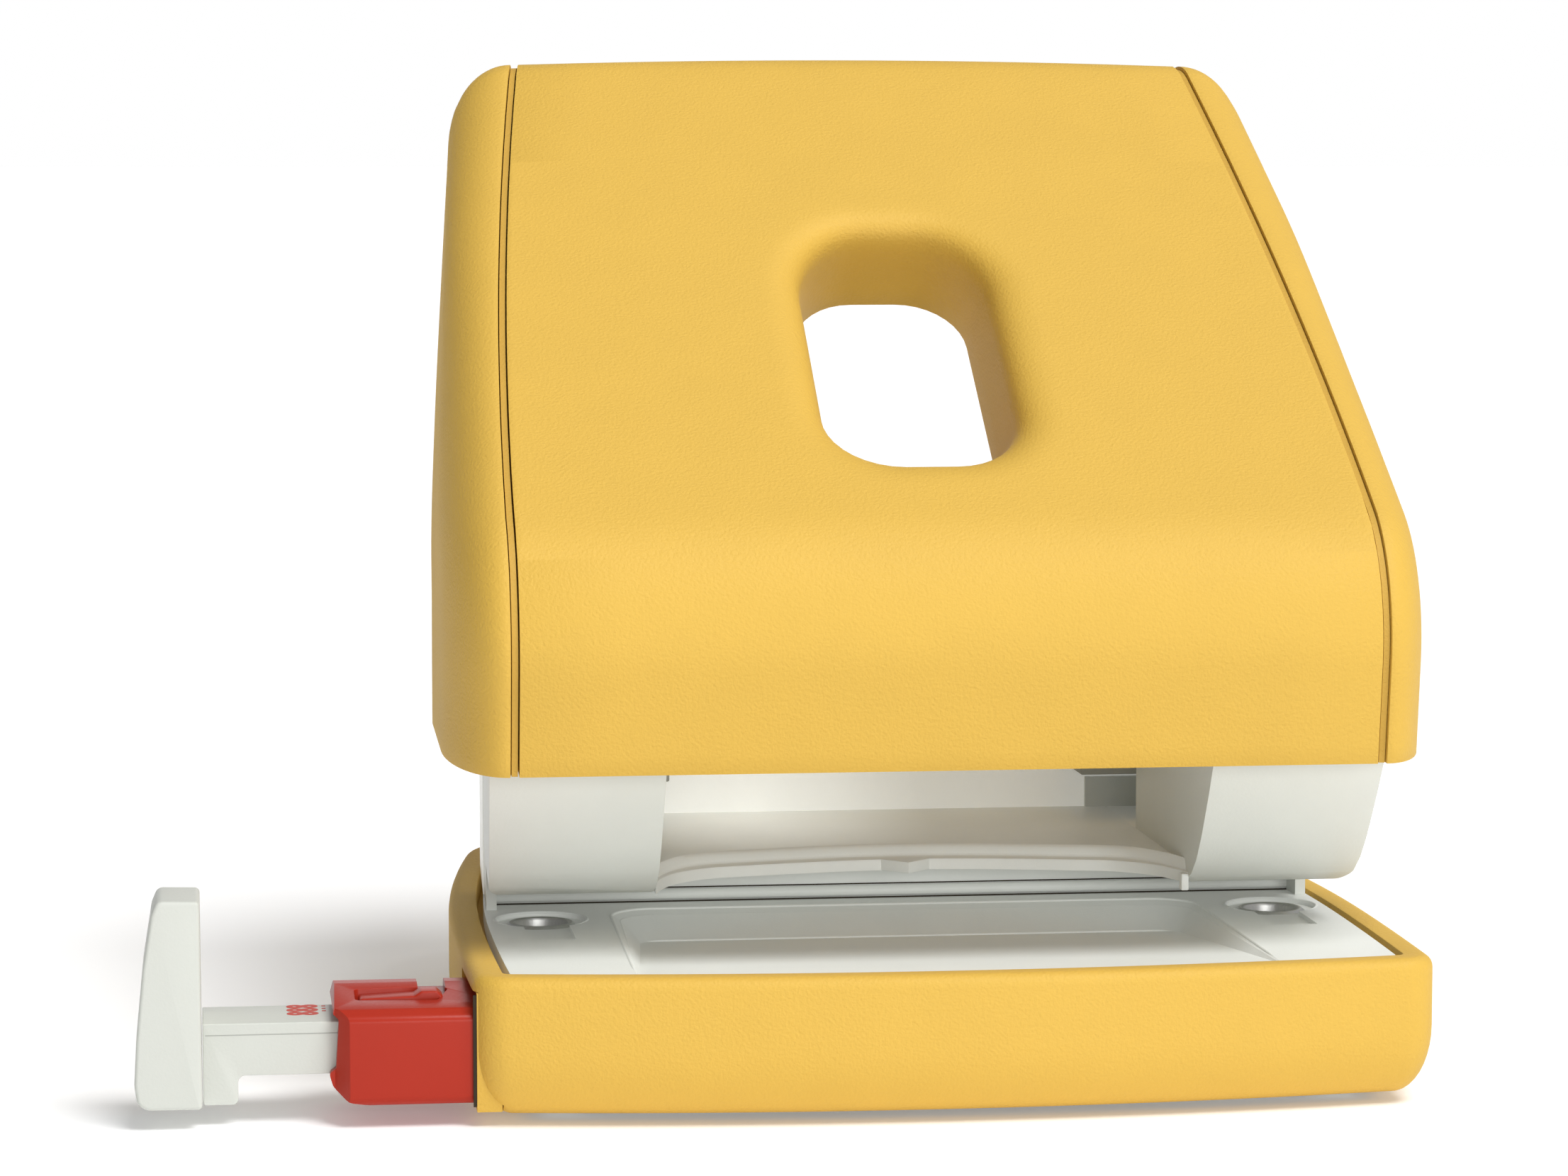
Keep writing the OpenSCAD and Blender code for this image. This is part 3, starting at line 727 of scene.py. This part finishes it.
PUNCH_X = 40                     # half of the standard spacing


def meet(c1, r1, c2, r2):
    """Point where two circles cross, on the left of the line between them."""
    d = (c2 - c1).length
    a = (r1 * r1 - r2 * r2 + d * d) / (2 * d)
    u = (c2 - c1) / d
    return c1 + a * u + math.sqrt(r1 * r1 - a * a) * Vector((-u.y, u.x))


def arc(c, r, a0, a1, steps):
    return [(c.x + r * math.cos(lerp(a0, a1, k / steps)),
             c.y + r * math.sin(lerp(a0, a1, k / steps))) for k in range(steps + 1)]


def heading(a, b):
    return math.atan2(b.y - a.y, b.x - a.x)


def base_loop(inset):
    """Closed outline of the base, moved inwards."""
    corner = meet(FRONT_C, FRONT_R - CORNER_R, FRONT_SIDE_C, FRONT_SIDE_R - CORNER_R)
    rear = meet(SIDE_C, SIDE_R - REAR_CORNER_R, REAR_C, REAR_R - REAR_CORNER_R)
    a0, a1 = heading(FRONT_C, corner), heading(FRONT_SIDE_C, corner)
    a2, a3 = heading(SIDE_C, rear), heading(REAR_C, rear)
    half = (arc(FRONT_C, FRONT_R - inset, -math.pi / 2, a0, 20)
            + arc(corner, max(0.05, CORNER_R - inset), a0, a1, 12)[1:]
            + arc(FRONT_SIDE_C, FRONT_SIDE_R - inset, a1, 0.0, 12)[1:]
            + arc(SIDE_C, SIDE_R - inset, 0.0, a2, 14)[1:]
            + arc(rear, REAR_CORNER_R - inset, a2, a3, 16)[1:]
            + arc(REAR_C, REAR_R - inset, a3, math.pi / 2, 16)[1:])
    return half + [(-x, y) for x, y in half[-2:0:-1]]


def clipped(loop, keep_front, y_cut):
    """Part of a closed loop in front of or behind a line across it."""
    result = []
    for (ax, ay), (bx, by) in zip(loop, loop[1:] + loop[:1]):
        inside_a = (ay <= y_cut) == keep_front
        inside_b = (by <= y_cut) == keep_front
        if inside_a:
            result.append((ax, ay))
        if inside_a != inside_b:
            t = (y_cut - ay) / (by - ay)
            result.append((lerp(ax, bx, t), y_cut))
    return result


def turned(outline, centre, steps=72):
    """Rings of points about a vertical line, one for each (radius, z)."""
    angles = [2 * math.pi * k / steps for k in range(steps)]
    return [[(centre[0] + r * math.cos(a), centre[1] + r * math.sin(a), z) for a in angles]
            for r, z in outline]


def lathe(name, outline, centre):
    """Solid from a closed loop of (radius, z) turned about a vertical line."""
    rows = list(zip(*turned(outline, centre)))
    shape = Shape()
    shape.grid(rows + rows[:1], closed=True)
    return make(name, shape)


def round_solid(outline, centre):
    """Solid for cutting, from (radius, z) pairs going up, with flat ends."""
    return make("cutter", Shape().tube(turned(outline, centre)))


def build_base_shell():
    section = []
    for k in range(11):
        a = math.radians(9 * k)
        section.append((ROLL_IN * (1 - math.sin(a)), BASE_FOOT + ROLL_UP * (1 - math.cos(a))))
    section.append((0.0, 10.0))
    for k in range(7):
        a = math.radians(15 * k)
        section.append((1.3 * (1 - math.cos(a)), BASE_TOP - 1.3 * (1 - math.sin(a))))
    section += [(2.8, BASE_TOP), (3.02, BASE_TOP - 0.06), (3.1, BASE_TOP - 0.28),
                (3.1, 12.6), (5.2, 12.6), (5.2, 11.6), (2.4, 11.6), (2.4, 5.0),
                (5.8, 5.0), (5.8, 1.2), (5.7, 0.95)]
    shape = Shape()
    loops = [[(x, y, z) for x, y in base_loop(inset)] for inset, z in section]
    shape.grid(loops + loops[:1], closed=True)
    base = make("base_shell_piece", shape)
    cut(base, prism(clipped(base_loop(2.6), False, DECK_Y), 2, 13.4, BASE_TOP), "UNION")
    for x in (-32.3, -17.7, 17.7, 32.3):
        lug = prism(rounded([(50.4, 3.4), (50.4, 14), (54.8, 14), (54.8, 3.4),
                             (54.4, 1.6), (52.6, 1.2), (50.8, 1.6)], [0, 0, 0, 1, 1, 1, 1]),
                    0, x - 2, x + 2)
        cut(base, lug, "UNION")
    cut(base, solid_box((-60, -34.95, 1.3), (-46.3, -19.8, 13.5)))
    cut(base, solid_box((30, -31.3, 4.6), (60, -21.1, 10.5)))
    finish_piece(base, "base", YELLOW, ["base_shell"], 30)


def build_bezel():
    """Frame that closes the base round the lock, and a near-black strip of painted shade in the
    gap at its front.
    """
    frame_piece = solid_box((-48.95, -34.9, 1.35), (-46.4, -19.85, 13.45), "port_frame")
    cut(frame_piece, solid_box((-60, -34.75, 1.9), (-40, -20.15, 13.2)))
    bevel(frame_piece, 0.12, 2, 40)
    gap = solid_box((-49.3, -34.85, 1.9), (-48.97, -34.6, 13.2), "port_gap_shade")
    finish_piece(gap, "base", GAP_SHADE)
    finish_piece(frame_piece, "base", YELLOW, ["port_bezel"])


def hull_solid(points):
    """Smallest solid round a few points."""
    mesh = bpy.data.meshes.new("hull")
    bm = bmesh.new()
    for p in points:
        bm.verts.new(Vector(p) * MM)
    result = bmesh.ops.convex_hull(bm, input=bm.verts)
    loose = {v for v in result["geom_interior"] + result["geom_unused"]
             if isinstance(v, bmesh.types.BMVert)}
    bmesh.ops.delete(bm, geom=list(loose), context="VERTS")
    bmesh.ops.recalc_face_normals(bm, faces=bm.faces)
    bm.to_mesh(mesh)
    bm.free()
    return linked("hull", mesh)


def back_corner(half, back, radius):
    """Quarter circle (x, y) at the trough's right back corner."""
    return [on_circle(half - radius, back - radius, radius, 9 * k) for k in range(11)]


def trough_outline(half, back, radius, level, front_level):
    """Points round the trough, with round corners at its back and straight to the front."""
    points = []
    for x, y in back_corner(half, back, radius):
        z = lerp(level, front_level, (back - y) / (back + 38.0))
        points += [(x, y, z), (-x, y, z)]
    points += [(32.9, -38.0, front_level), (-32.9, -38.0, front_level)]
    return points


def build_plate():
    plate = prism(clipped(base_loop(PLATE_INSET), True, 38.4), 2, 13.2, PLATE_Z,
                  "punch_plate")
    cut(plate, solid_box((-34.5, -33.8, 11.2), (34.5, 7.5, 13.6)), "UNION")
    # trough with a sloped back wall and a floor that rises to the front edge
    trough = hull_solid(trough_outline(29.6, -0.9, 2.6, 12.5, 15.05)
                        + trough_outline(33.6, 10.7, 6.2, 17.0, 17.0))
    bevel(trough, 0.4, 3, 14)
    cut(plate, trough)
    # slanted rim that catches the light
    cut(plate, hull_solid(trough_outline(31.5, 4.5, 4.2, 14.55, 14.98)
                          + trough_outline(33.0, 6.9, 5.6, 15.3, 15.3)))
    for side in (-1, 1):
        # shallow funnel round the die, open to the front through a notch
        cut(plate, solid_box((side * 39.7 - 2.45, -12.9, 14.5), (side * 39.7 + 2.45, -3, 17)))
        cut(plate, round_solid([(3.7, 10), (3.7, 14.45), (3.75, 14.5), (4.9, 14.52), (5.0, 16)],
                               (side * PUNCH_X, 0)))
    bevel(plate, 0.16, 3, 25)
    grey_piece(plate, PALE, ["base_plate"], 16)


def build_bead(name, path, radius):
    """Thin round rib along a line, fading out at both ends."""
    rows = []
    for i, place in enumerate(path):
        near_end = min(math.dist(place, path[0]), math.dist(place, path[-1]))
        size = radius * max(0.1, min(1.0, near_end / 4))
        step = Vector(path[min(i + 1, len(path) - 1)]) - Vector(path[max(i - 1, 0)])
        across = Vector((-step.y, step.x, 0)).normalized()
        ring = [on_circle(0, 0, size, a) for a in range(0, 360, 36)]
        rows.append([tuple(Vector(place) + across * u + Vector((0, 0, v))) for u, v in ring])
    grey_piece(make(name, Shape().tube(rows)), PALE)


def build_trough_beads():
    """Ribs along the trough's upper edge and along the foot of its back wall."""
    for name, half, back, radius, z, front_y, size in (
            ("trough_edge_bead", 32.35, 5.9, 5.0, 14.93, -34.0, 0.2),
            ("trough_foot_bead", 29.75, -0.75, 2.6, 12.5, -3.6, 0.22)):
        corner = [(x, y, z) for x, y in back_corner(half, back, radius)]
        side = [(half + 0.6 * (1 - k / 9) * (z > 14), lerp(front_y, back - radius, k / 9), z)
                for k in range(9)]
        line = side + corner
        line += [(-x, y, z) for x, y, z in line[::-1]]
        build_bead(name, line, size)


def build_die(side):
    """Ring with a rounded mouth, set in the plate, and the thin rib round its funnel."""
    which = side_name(side)
    outline = [(2.81, 11.0), (3.66, 11.0), (3.66, 14.5), (3.4, 14.78), (3.15, 14.8),
               (2.95, 14.7), (2.81, 14.45)]
    ring = lathe("die_ring_" + which, outline, (side * PUNCH_X, 0))
    bead = [(*on_circle(side * PUNCH_X, 0, 5.0, a), PLATE_Z - 0.02)
            for a in range(-55, 236, 10)]
    build_bead("die_rim_" + which, bead, 0.15)
    finish_piece(ring, "base", DIE_STEEL, ["die_" + which])


# -------------------------------------------------------------- upper body
TOWER_FRONT = [(-9.0, SLOT_Z), (-11.9, 20.5), (-14.4, 22.4), (-16.6, 24.9), (-18.4, 27.4),
               (-20.4, 30.3), (-22.2, 33.2), (-23.9, 35.9), (-25.4, 38.4), (-25.9, 42.0),
               (-26.0, 50.0)]
BAY_HALF, BODY_HALF = 28.6, 46.4
ON_PLATE = 15.02                 # just clear of the plate
TAPER_HALF, TAPER_Y, TAPER = 44.0, -12, 0.9      # TAPER is the share lost per metre of depth


def taper_sides(obj):
    """Draws the upper body's outer walls in towards the back."""
    for vertex in obj.data.vertices:
        if abs(vertex.co.x) > TAPER_HALF * MM:
            vertex.co.x *= 1 - TAPER * (vertex.co.y - TAPER_Y * MM)
    return obj


def build_tower(side):
    node = "tower_" + side_name(side)
    name = node + "_shell"
    outline = TOWER_FRONT + [(18.0, 50.0), (18.0, SLOT_Z)]
    tower = prism(outline, 0, BAY_HALF, BODY_HALF, name)
    front_view = rounded([(BAY_HALF, SLOT_Z), (BODY_HALF - 0.1, SLOT_Z),
                          (BODY_HALF, 51), (BAY_HALF, 51)], [0.5, 1.3, 0, 0], 8)
    cut(tower, prism(front_view, 1, -40, 30), "INTERSECT")
    bevel(tower, 0.55, 4, 42)
    inner = [(y + 1.6, max(z, 21.2)) for y, z in TOWER_FRONT[2:]]
    inner[-1] = (inner[-1][0], 60)
    inner += [(16.6, 60), (16.6, 21.2)]
    cut(tower, prism(inner, 0, BAY_HALF + 1.4, BODY_HALF - 1.4))
    cut(tower, round_solid([(4.03, 15), (4.03, 25)], (PUNCH_X, 0)))
    # posts behind the slot that carry the tower
    posts = [solid_box((BODY_HALF - 1.3, 6.6, ON_PLATE), (BODY_HALF - 0.15, 18, 22)),
             solid_box((BAY_HALF, 12.9, ON_PLATE), (BODY_HALF - 0.2, 18, 20)),
             lathe("boss", [(1.55, ON_PLATE), (2.2, ON_PLATE), (2.2, 27), (1.55, 27)], (36, 15.5))]
    for post in posts:
        cut(tower, post, "UNION")
    if side < 0:
        right = tower
        tower = mirrored(right, name)
        bpy.data.objects.remove(right)
    grey_piece(taper_sides(tower), GREY, [node], 34)


SHELF_TOP = 21.1
LIP_LINE = [(-28.6, -10.6), (-27.6, -7.4), (-26.2, -4.6), (-24.2, -2.4), (-21.6, -0.7),
            (-18.0, 0.3), (-12.0, 1.6), (-6.0, 2.6), (0.0, 3.0), (6.0, 2.6), (12.0, 1.6),
            (17.5, 0.3), (21.6, -0.7), (24.2, -2.4), (26.2, -4.6), (27.6, -7.4),
            (28.6, -10.6)]
LIP_SECTION = [(0.0, SLOT_Z), (0.0, 20.22), (0.08, 20.38), (0.25, 20.42), (1.35, 20.46),
               (1.5, 20.56), (1.6, 20.8), (1.85, 21.35), (2.3, 21.68), (2.75, 21.7),
               (3.2, 21.45), (3.6, 21.18), (4.0, 21.1)]


def curve_through(points, steps):
    """Smooth line through the points."""
    result = []
    ends = [points[0]] + list(points) + [points[-1]]
    for p0, p1, p2, p3 in zip(ends, ends[1:], ends[2:], ends[3:]):
        for k in range(steps):
            t = k / steps
            result.append(tuple(
                0.5 * (2 * b + (c - a) * t + (2 * a - 5 * b + 4 * c - d) * t * t
                       + (3 * b - a - 3 * c + d) * t ** 3)
                for a, b, c, d in zip(p0, p1, p2, p3)))
    result.append(tuple(points[-1]))
    return result


def build_shelf():
    line = curve_through(LIP_LINE, 4)
    away = []
    for i in range(len(line)):
        a, b = Vector(line[max(0, i - 1)]), Vector(line[min(len(line) - 1, i + 1)])
        step = (b - a).normalized()
        square = smooth((abs(line[i][0]) - 20) / 7)
        away.append(Vector((-step.y, step.x)).lerp(Vector((0, 1)), square).normalized())
    rows = [[(x + n.x * d, y + n.y * d, z) for (x, y), n in zip(line, away)]
            for d, z in LIP_SECTION]
    back_y = 36.6
    rows.append([(x, back_y, SHELF_TOP) for x, _, _ in rows[-1]])
    rows.append([(x, back_y, SLOT_Z) for x, _, _ in rows[-1]])
    shape = Shape()
    shape.grid(rows + rows[:1])
    for end in (0, -1):
        shape.cap([row[end] for row in rows])
    shelf = make("paper_shelf_piece", shape)
    grey_piece(shelf, PALE, ["paper_shelf"], 36)
    # pointer at the sheet's middle, under the lip
    pointer = prism([(-2.65, 4.2), (-2.65, 2.85), (0.0, 0.2), (2.65, 2.85), (2.65, 4.2)], 2,
                    SLOT_Z, 20.43, "centre_mark")
    bevel(pointer, 0.12, 2, 30)
    grey_piece(pointer, PALE)
    for side in (-1, 1):
        wing = solid_box((28.62, 17.9, 19.25), (44.9, 36.6, SHELF_TOP),
                         "shelf_wing_" + side_name(side))
        bevel(wing, 0.15, 2, 40)
        if side < 0:
            wing.data.transform(Matrix.Scale(-1, 4, (1, 0, 0)))
            wing.data.flip_normals()
        grey_piece(taper_sides(wing), PALE)
    stub = solid_box((27.8, -10.7, 18.5), (28.6, -9.4, 20.3), "shelf_stub")
    bevel(stub, 0.12, 2, 40)
    grey_piece(stub, PALE)


def build_rear_housing():
    wall = 1.4
    outer = [(-BODY_HALF, ON_PLATE), (-BODY_HALF, 37.0), (BODY_HALF, 37.0), (BODY_HALF, ON_PLATE)]
    housing = prism(outer, 1, 38 - wall, 38, "rear_housing_shell")
    for side in (-1, 1):
        profile_line = [(18.1, ON_PLATE), (18.1, 50), (34, 37), (37.5, 37), (37.5, ON_PLATE)]
        low, high = sorted((side * (BODY_HALF - wall), side * BODY_HALF))
        cut(housing, prism(profile_line, 0, low, high), "UNION")
        # web across the corner behind the tower, coloured dark grey as painted shade, and a pad on
        # the back wall
        low, high = sorted((side * 23.6, side * (BODY_HALF - wall - 0.1)))
        web = solid_box((low, 25.0, 26.3), (high, 36.8, 28.4), "housing_web_" + side_name(side))
        bevel(web, 0.2, 2, 40)
        grey_piece(taper_sides(web), SHADE_GREY)
        pad = prism([(side * 26.2, 21.0), (side * 35.9, 21.0), (side * 34.4, 24.6),
                     (side * 26.2, 24.6)], 1, 36.0, 37.0, "housing_pad_" + side_name(side))
        grey_piece(pad, GREY)
    bevel(housing, 0.35, 3, 40)
    grey_piece(taper_sides(housing), WHITE_WALL, ["rear_housing"], 34)


def build_stop_rail():
    """Strip at the back of the slot, with a round foot between two thin lines of painted shade."""
    outline = [(12.6, ON_PLATE), (12.6, 19.18), (11.0, 19.18), (11.0, 16.35)]
    outline += [on_circle(10.75, 15.78, 0.62, a) for a in range(70, 281, 15)]
    outline += [(11.0, ON_PLATE)]
    rail = prism(outline, 0, -44.95, 44.95, "paper_stop")
    bevel(rail, 0.1, 2, 60)
    for name, y, z in (("stop_shade_line_low", 10.35, 15.07), ("stop_shade_line_high", 10.96, 16.52)):
        shade_line = solid_box((-44.9, y - 0.15, z - 0.06), (44.9, y + 0.15, z + 0.06), name)
        grey_piece(shade_line, GAP_SHADE)
    grey_piece(rail, PALE, ["paper_stop_rail"], 34)


# ------------------------------------------------------------------- guide
BAR_LOW, BAR_HIGH = (-31.0, 4.9), (-21.4, 10.2)      # (y, z) of the bar's edges
STOP_X = -76.2


def build_lock():
    front_view = rounded([(-44.6, 2.1), (-44.6, 13.2), (-62.7, 13.2), (-63.2, 11.2),
                          (-62.6, 10.7), (-62.9, 5.7), (-63.6, 5.2), (-63.2, 3.8), (-61.7, 2.5),
                          (-59.4, 2.1)],
                         [0.2, 0.2, 0.7, 0.3, 0.4, 0.3, 0.5, 1.4, 2.0, 2.0], 8)
    lock = prism(front_view, 1, -34.5, -20.4, "lock_block")
    end_view = rounded([(-34.5, 2.1), (-20.4, 2.1), (-20.4, 12.6), (-23.6, 12.75),
                        (-33.2, 11.75), (-34.5, 11.0)], [1.0, 1.0, 0.8, 0.5, 0.8, 0.9], 6)
    cut(lock, prism(end_view, 0, -70, -40), "INTERSECT")
    # side and front meet in a slanted corner
    corner = prism([(-65, -36), (-61.5, -36), (-61.5, -34.6), (-63.0, -32.6), (-65, -32.6)],
                   2, 0, 20)
    cut(lock, corner)
    bevel(lock, 0.45, 4, 32)
    cut(lock, solid_box((-80, BAR_LOW[0] - 0.2, BAR_LOW[1] - 0.2),
                        (-40, BAR_HIGH[0] + 0.2, BAR_HIGH[1] + 0.2)))
    # slot for the tongue, wider at its hooked end
    cut(lock, prism(rounded([(-60.9, -29.9), (-52.6, -30.3), (-51.4, -26.4), (-52.0, -25.4),
                             (-60.9, -25.9)], 0.6), 2, 10.6, 20))
    cut(lock, solid_box((-54.4, -25.9, 11.7), (-51.6, -20, 20)))
    bevel(lock, 0.16, 3, 40)
    finish_piece(lock, "base", RED, ["guide_lock"], 34)


def build_tab():
    tab = prism(rounded([(-60.5, 11.2), (-60.5, 12.1), (-54.9, 12.3), (-54.2, 12.75),
                         (-52.6, 12.75), (-52.0, 12.2), (-52.2, 11.2)],
                        [0.2, 0.4, 0.4, 0.4, 0.5, 0.3, 0.2]), 1, -29.4, -26.6, "tab_tongue")
    bevel(tab, 0.25, 3, 40)
    finish_piece(tab, "lock_tab", RED, ["release_tab"], 34)


def build_bar():
    front_view = rounded([(-76.15, 1.95), (-72.65, 1.95), (-72.65, 4.9), (49.8, 4.9),
                          (49.8, 10.2), (-76.15, 10.2)], [0.3, 0.6, 0.7, 0.4, 0.4, 0.1])
    bar = prism(front_view, 1, BAR_LOW[0], BAR_HIGH[0], "guide_bar_piece")
    for notch in (0, 7.7, 36.5, 80):
        cut(bar, solid_box((-52 + notch, -21.9, 5.9), (-51 + notch, -20, 9.2)))
    bevel(bar, 0.22, 3, 50)
    finish_piece(bar, "guide", GUIDE_GREY, ["guide_bar"], 34)
    # the bar's groove is drawn as a thin dark strip of painted shade
    groove_shade_line = solid_box((-75.9, BAR_LOW[0] - 0.012, 8.98), (49.5, BAR_LOW[0] + 0.1, 9.09),
                       "bar_groove_shade_line")
    finish_piece(groove_shade_line, "guide", SHADE_GREY)


def figure_eight(x, y, width, height):
    """Outer edge and two holes of the figure 8, lying on its side along X."""
    bowl = height / 2
    turns = [math.radians(d) for d in range(38, 323, 15)]
    outer = [(x + height * 0.25 + bowl * 0.56 * math.cos(a), y + width * 0.5 * math.sin(a))
             for a in turns]
    outer += [(x + height * 0.75 - bowl * 0.56 * math.cos(a), y - width * 0.5 * math.sin(a))
              for a in turns]
    holes = []
    for centre in (0.25, 0.75):
        holes.append([(x + height * centre + bowl * 0.15 * math.cos(a),
                       y + width * 0.12 * math.sin(a))
                      for a in (math.radians(d) for d in range(0, 360, 20))])
    return outer, holes


def build_scale_mark():
    """Three eights and three dots, printed on the bar."""
    z = BAR_HIGH[1]
    for k in range(3):
        y = -26.25 + 1.98 * k
        outer, holes = figure_eight(-67.6, y, 1.88, 3.05)
        mark = prism(outer, 2, z - 0.02, z + 0.02, "scale_figure_%d" % (k + 1))
        for hole in holes:
            cut(mark, prism(hole, 2, z - 1, z + 1))
        finish_piece(mark, "guide", RED_INK)
        dot = solid_box((-64.1, -25.2 + 1.35 * k, z - 0.02),
                        (-63.7, -24.75 + 1.35 * k, z + 0.02), "scale_dot_%d" % (k + 1))
        finish_piece(dot, "guide", RED_INK)


def build_end_stop():
    outline = rounded([(STOP_X - 0.02, 1.9), (STOP_X - 0.1, 22.9), (STOP_X - 4.3, 23.0),
                       (STOP_X - 4.9, 21.6), (STOP_X - 5.8, 16.0), (STOP_X - 6.5, 9.0),
                       (STOP_X - 6.75, 4.5), (STOP_X - 6.4, 1.9)],
                      [0.4, 0.5, 0.8, 2.0, 8, 8, 3, 2.2], 6)
    stop = prism(outline, 1, -33.0, -23.2, "end_stop_block")
    bevel(stop, 0.9, 5, 50)
    finish_piece(stop, "guide", GUIDE_GREY, ["end_stop"], 34)


build_base_shell()
build_bezel()
build_plate()
build_trough_beads()
for side in (-1, 1):
    build_die(side)
    build_tower(side)
build_shelf()
build_rear_housing()
build_stop_rail()
build_lock()
build_tab()
build_bar()
build_scale_mark()
build_end_stop()


# ------------------------------- carried-over CAD nodes get their slot's material
slots = {entry["node"]: entry["material_slot"] for entry in frame["record"]["subparts"]}
for name, node in frame["nodes"].items():
    node.data.materials.clear()
    node.data.materials.append(SLOT_MATERIALS[slots[name]])


# ------------------------------------------------------------------ the stage
WORLD_LEFT, WORLD_RIGHT, WORLD_BEHIND = 0.16, 0.45, 1.0
FLOOR_GLOW = 0.2
SUN_POWER, SUN_ANGLE, SUN_AIM = 2.5, 30, (-0.30, 0.40, -0.87)
PANEL_POWER, PANEL_W_M, PANEL_H_M = 7, 1.0, 0.34
PANEL_PLACE, PANEL_AIM = (0.25, -1.4, 0.27), (-0.25, 1.4, -0.23)
LENS = 106.8
CAMERA_PLACE, CAMERA_TURN = (-0.07511, -0.49388, 0.09647), (84.72, 0, -7.09)


def build_world(scene):
    """Studio surroundings: dim on the left, brighter on the right, white behind."""
    world = bpy.data.worlds.new("studio")
    scene.world = world
    world.use_nodes = True
    nodes, links = world.node_tree.nodes, world.node_tree.links
    background = nodes["Background"]
    place = nodes.new("ShaderNodeTexCoord")
    axes = nodes.new("ShaderNodeSeparateXYZ")
    links.new(place.outputs["Generated"], axes.inputs["Vector"])

    brighter = nodes.new("ShaderNodeMath")
    brighter.operation = "MAXIMUM"
    across = span(nodes, links, axes.outputs["X"], WORLD_LEFT, WORLD_RIGHT, (-0.9, 0.7),
                  "SMOOTHSTEP")
    behind = span(nodes, links, axes.outputs["Y"], 0.0, WORLD_BEHIND, (0.90, 0.945),
                  "SMOOTHSTEP")
    links.new(across, brighter.inputs[0])
    links.new(behind, brighter.inputs[1])
    background.inputs["Color"].default_value = (1, 1, 1, 1)
    links.new(brighter.outputs["Value"], background.inputs["Strength"])


def facing(aim):
    """Rotation of a lamp that shines along a direction."""
    return Vector(aim).to_track_quat("-Z", "Y").to_euler()


def build_stage():
    """Pale floor, soft studio lights and the camera."""
    scene = bpy.context.scene
    material, _, _, shader = new_material("floor_white", (0.9, 0.9, 0.9), 0.9)
    shader.inputs["Specular IOR Level"].default_value = 0.05
    shader.inputs["Emission Color"].default_value = (1, 1, 1, 1)
    shader.inputs["Emission Strength"].default_value = FLOOR_GLOW
    bpy.ops.mesh.primitive_plane_add(size=60, location=(0, 20, -0.0002))
    floor = bpy.context.object
    floor.name = "floor"
    floor.data.materials.append(material)
    build_world(scene)

    sun = bpy.data.lights.new("key", "SUN")
    sun.energy = SUN_POWER
    sun.angle = math.radians(SUN_ANGLE)
    linked("key", sun).rotation_euler = facing(SUN_AIM)
    area = bpy.data.lights.new("front", "AREA")
    area.shape = "RECTANGLE"
    area.size = PANEL_W_M
    area.size_y = PANEL_H_M
    area.energy = PANEL_POWER
    soft = linked("front", area)
    soft.location = PANEL_PLACE
    soft.rotation_euler = facing(PANEL_AIM)

    camera_data = bpy.data.cameras.new("camera")
    camera_data.lens = LENS
    camera_data.sensor_width = 36
    camera = linked("camera", camera_data)
    camera.location = CAMERA_PLACE
    camera.rotation_euler = [math.radians(a) for a in CAMERA_TURN]
    scene.camera = camera
    scene.view_settings.view_transform = "Standard"


build_stage()
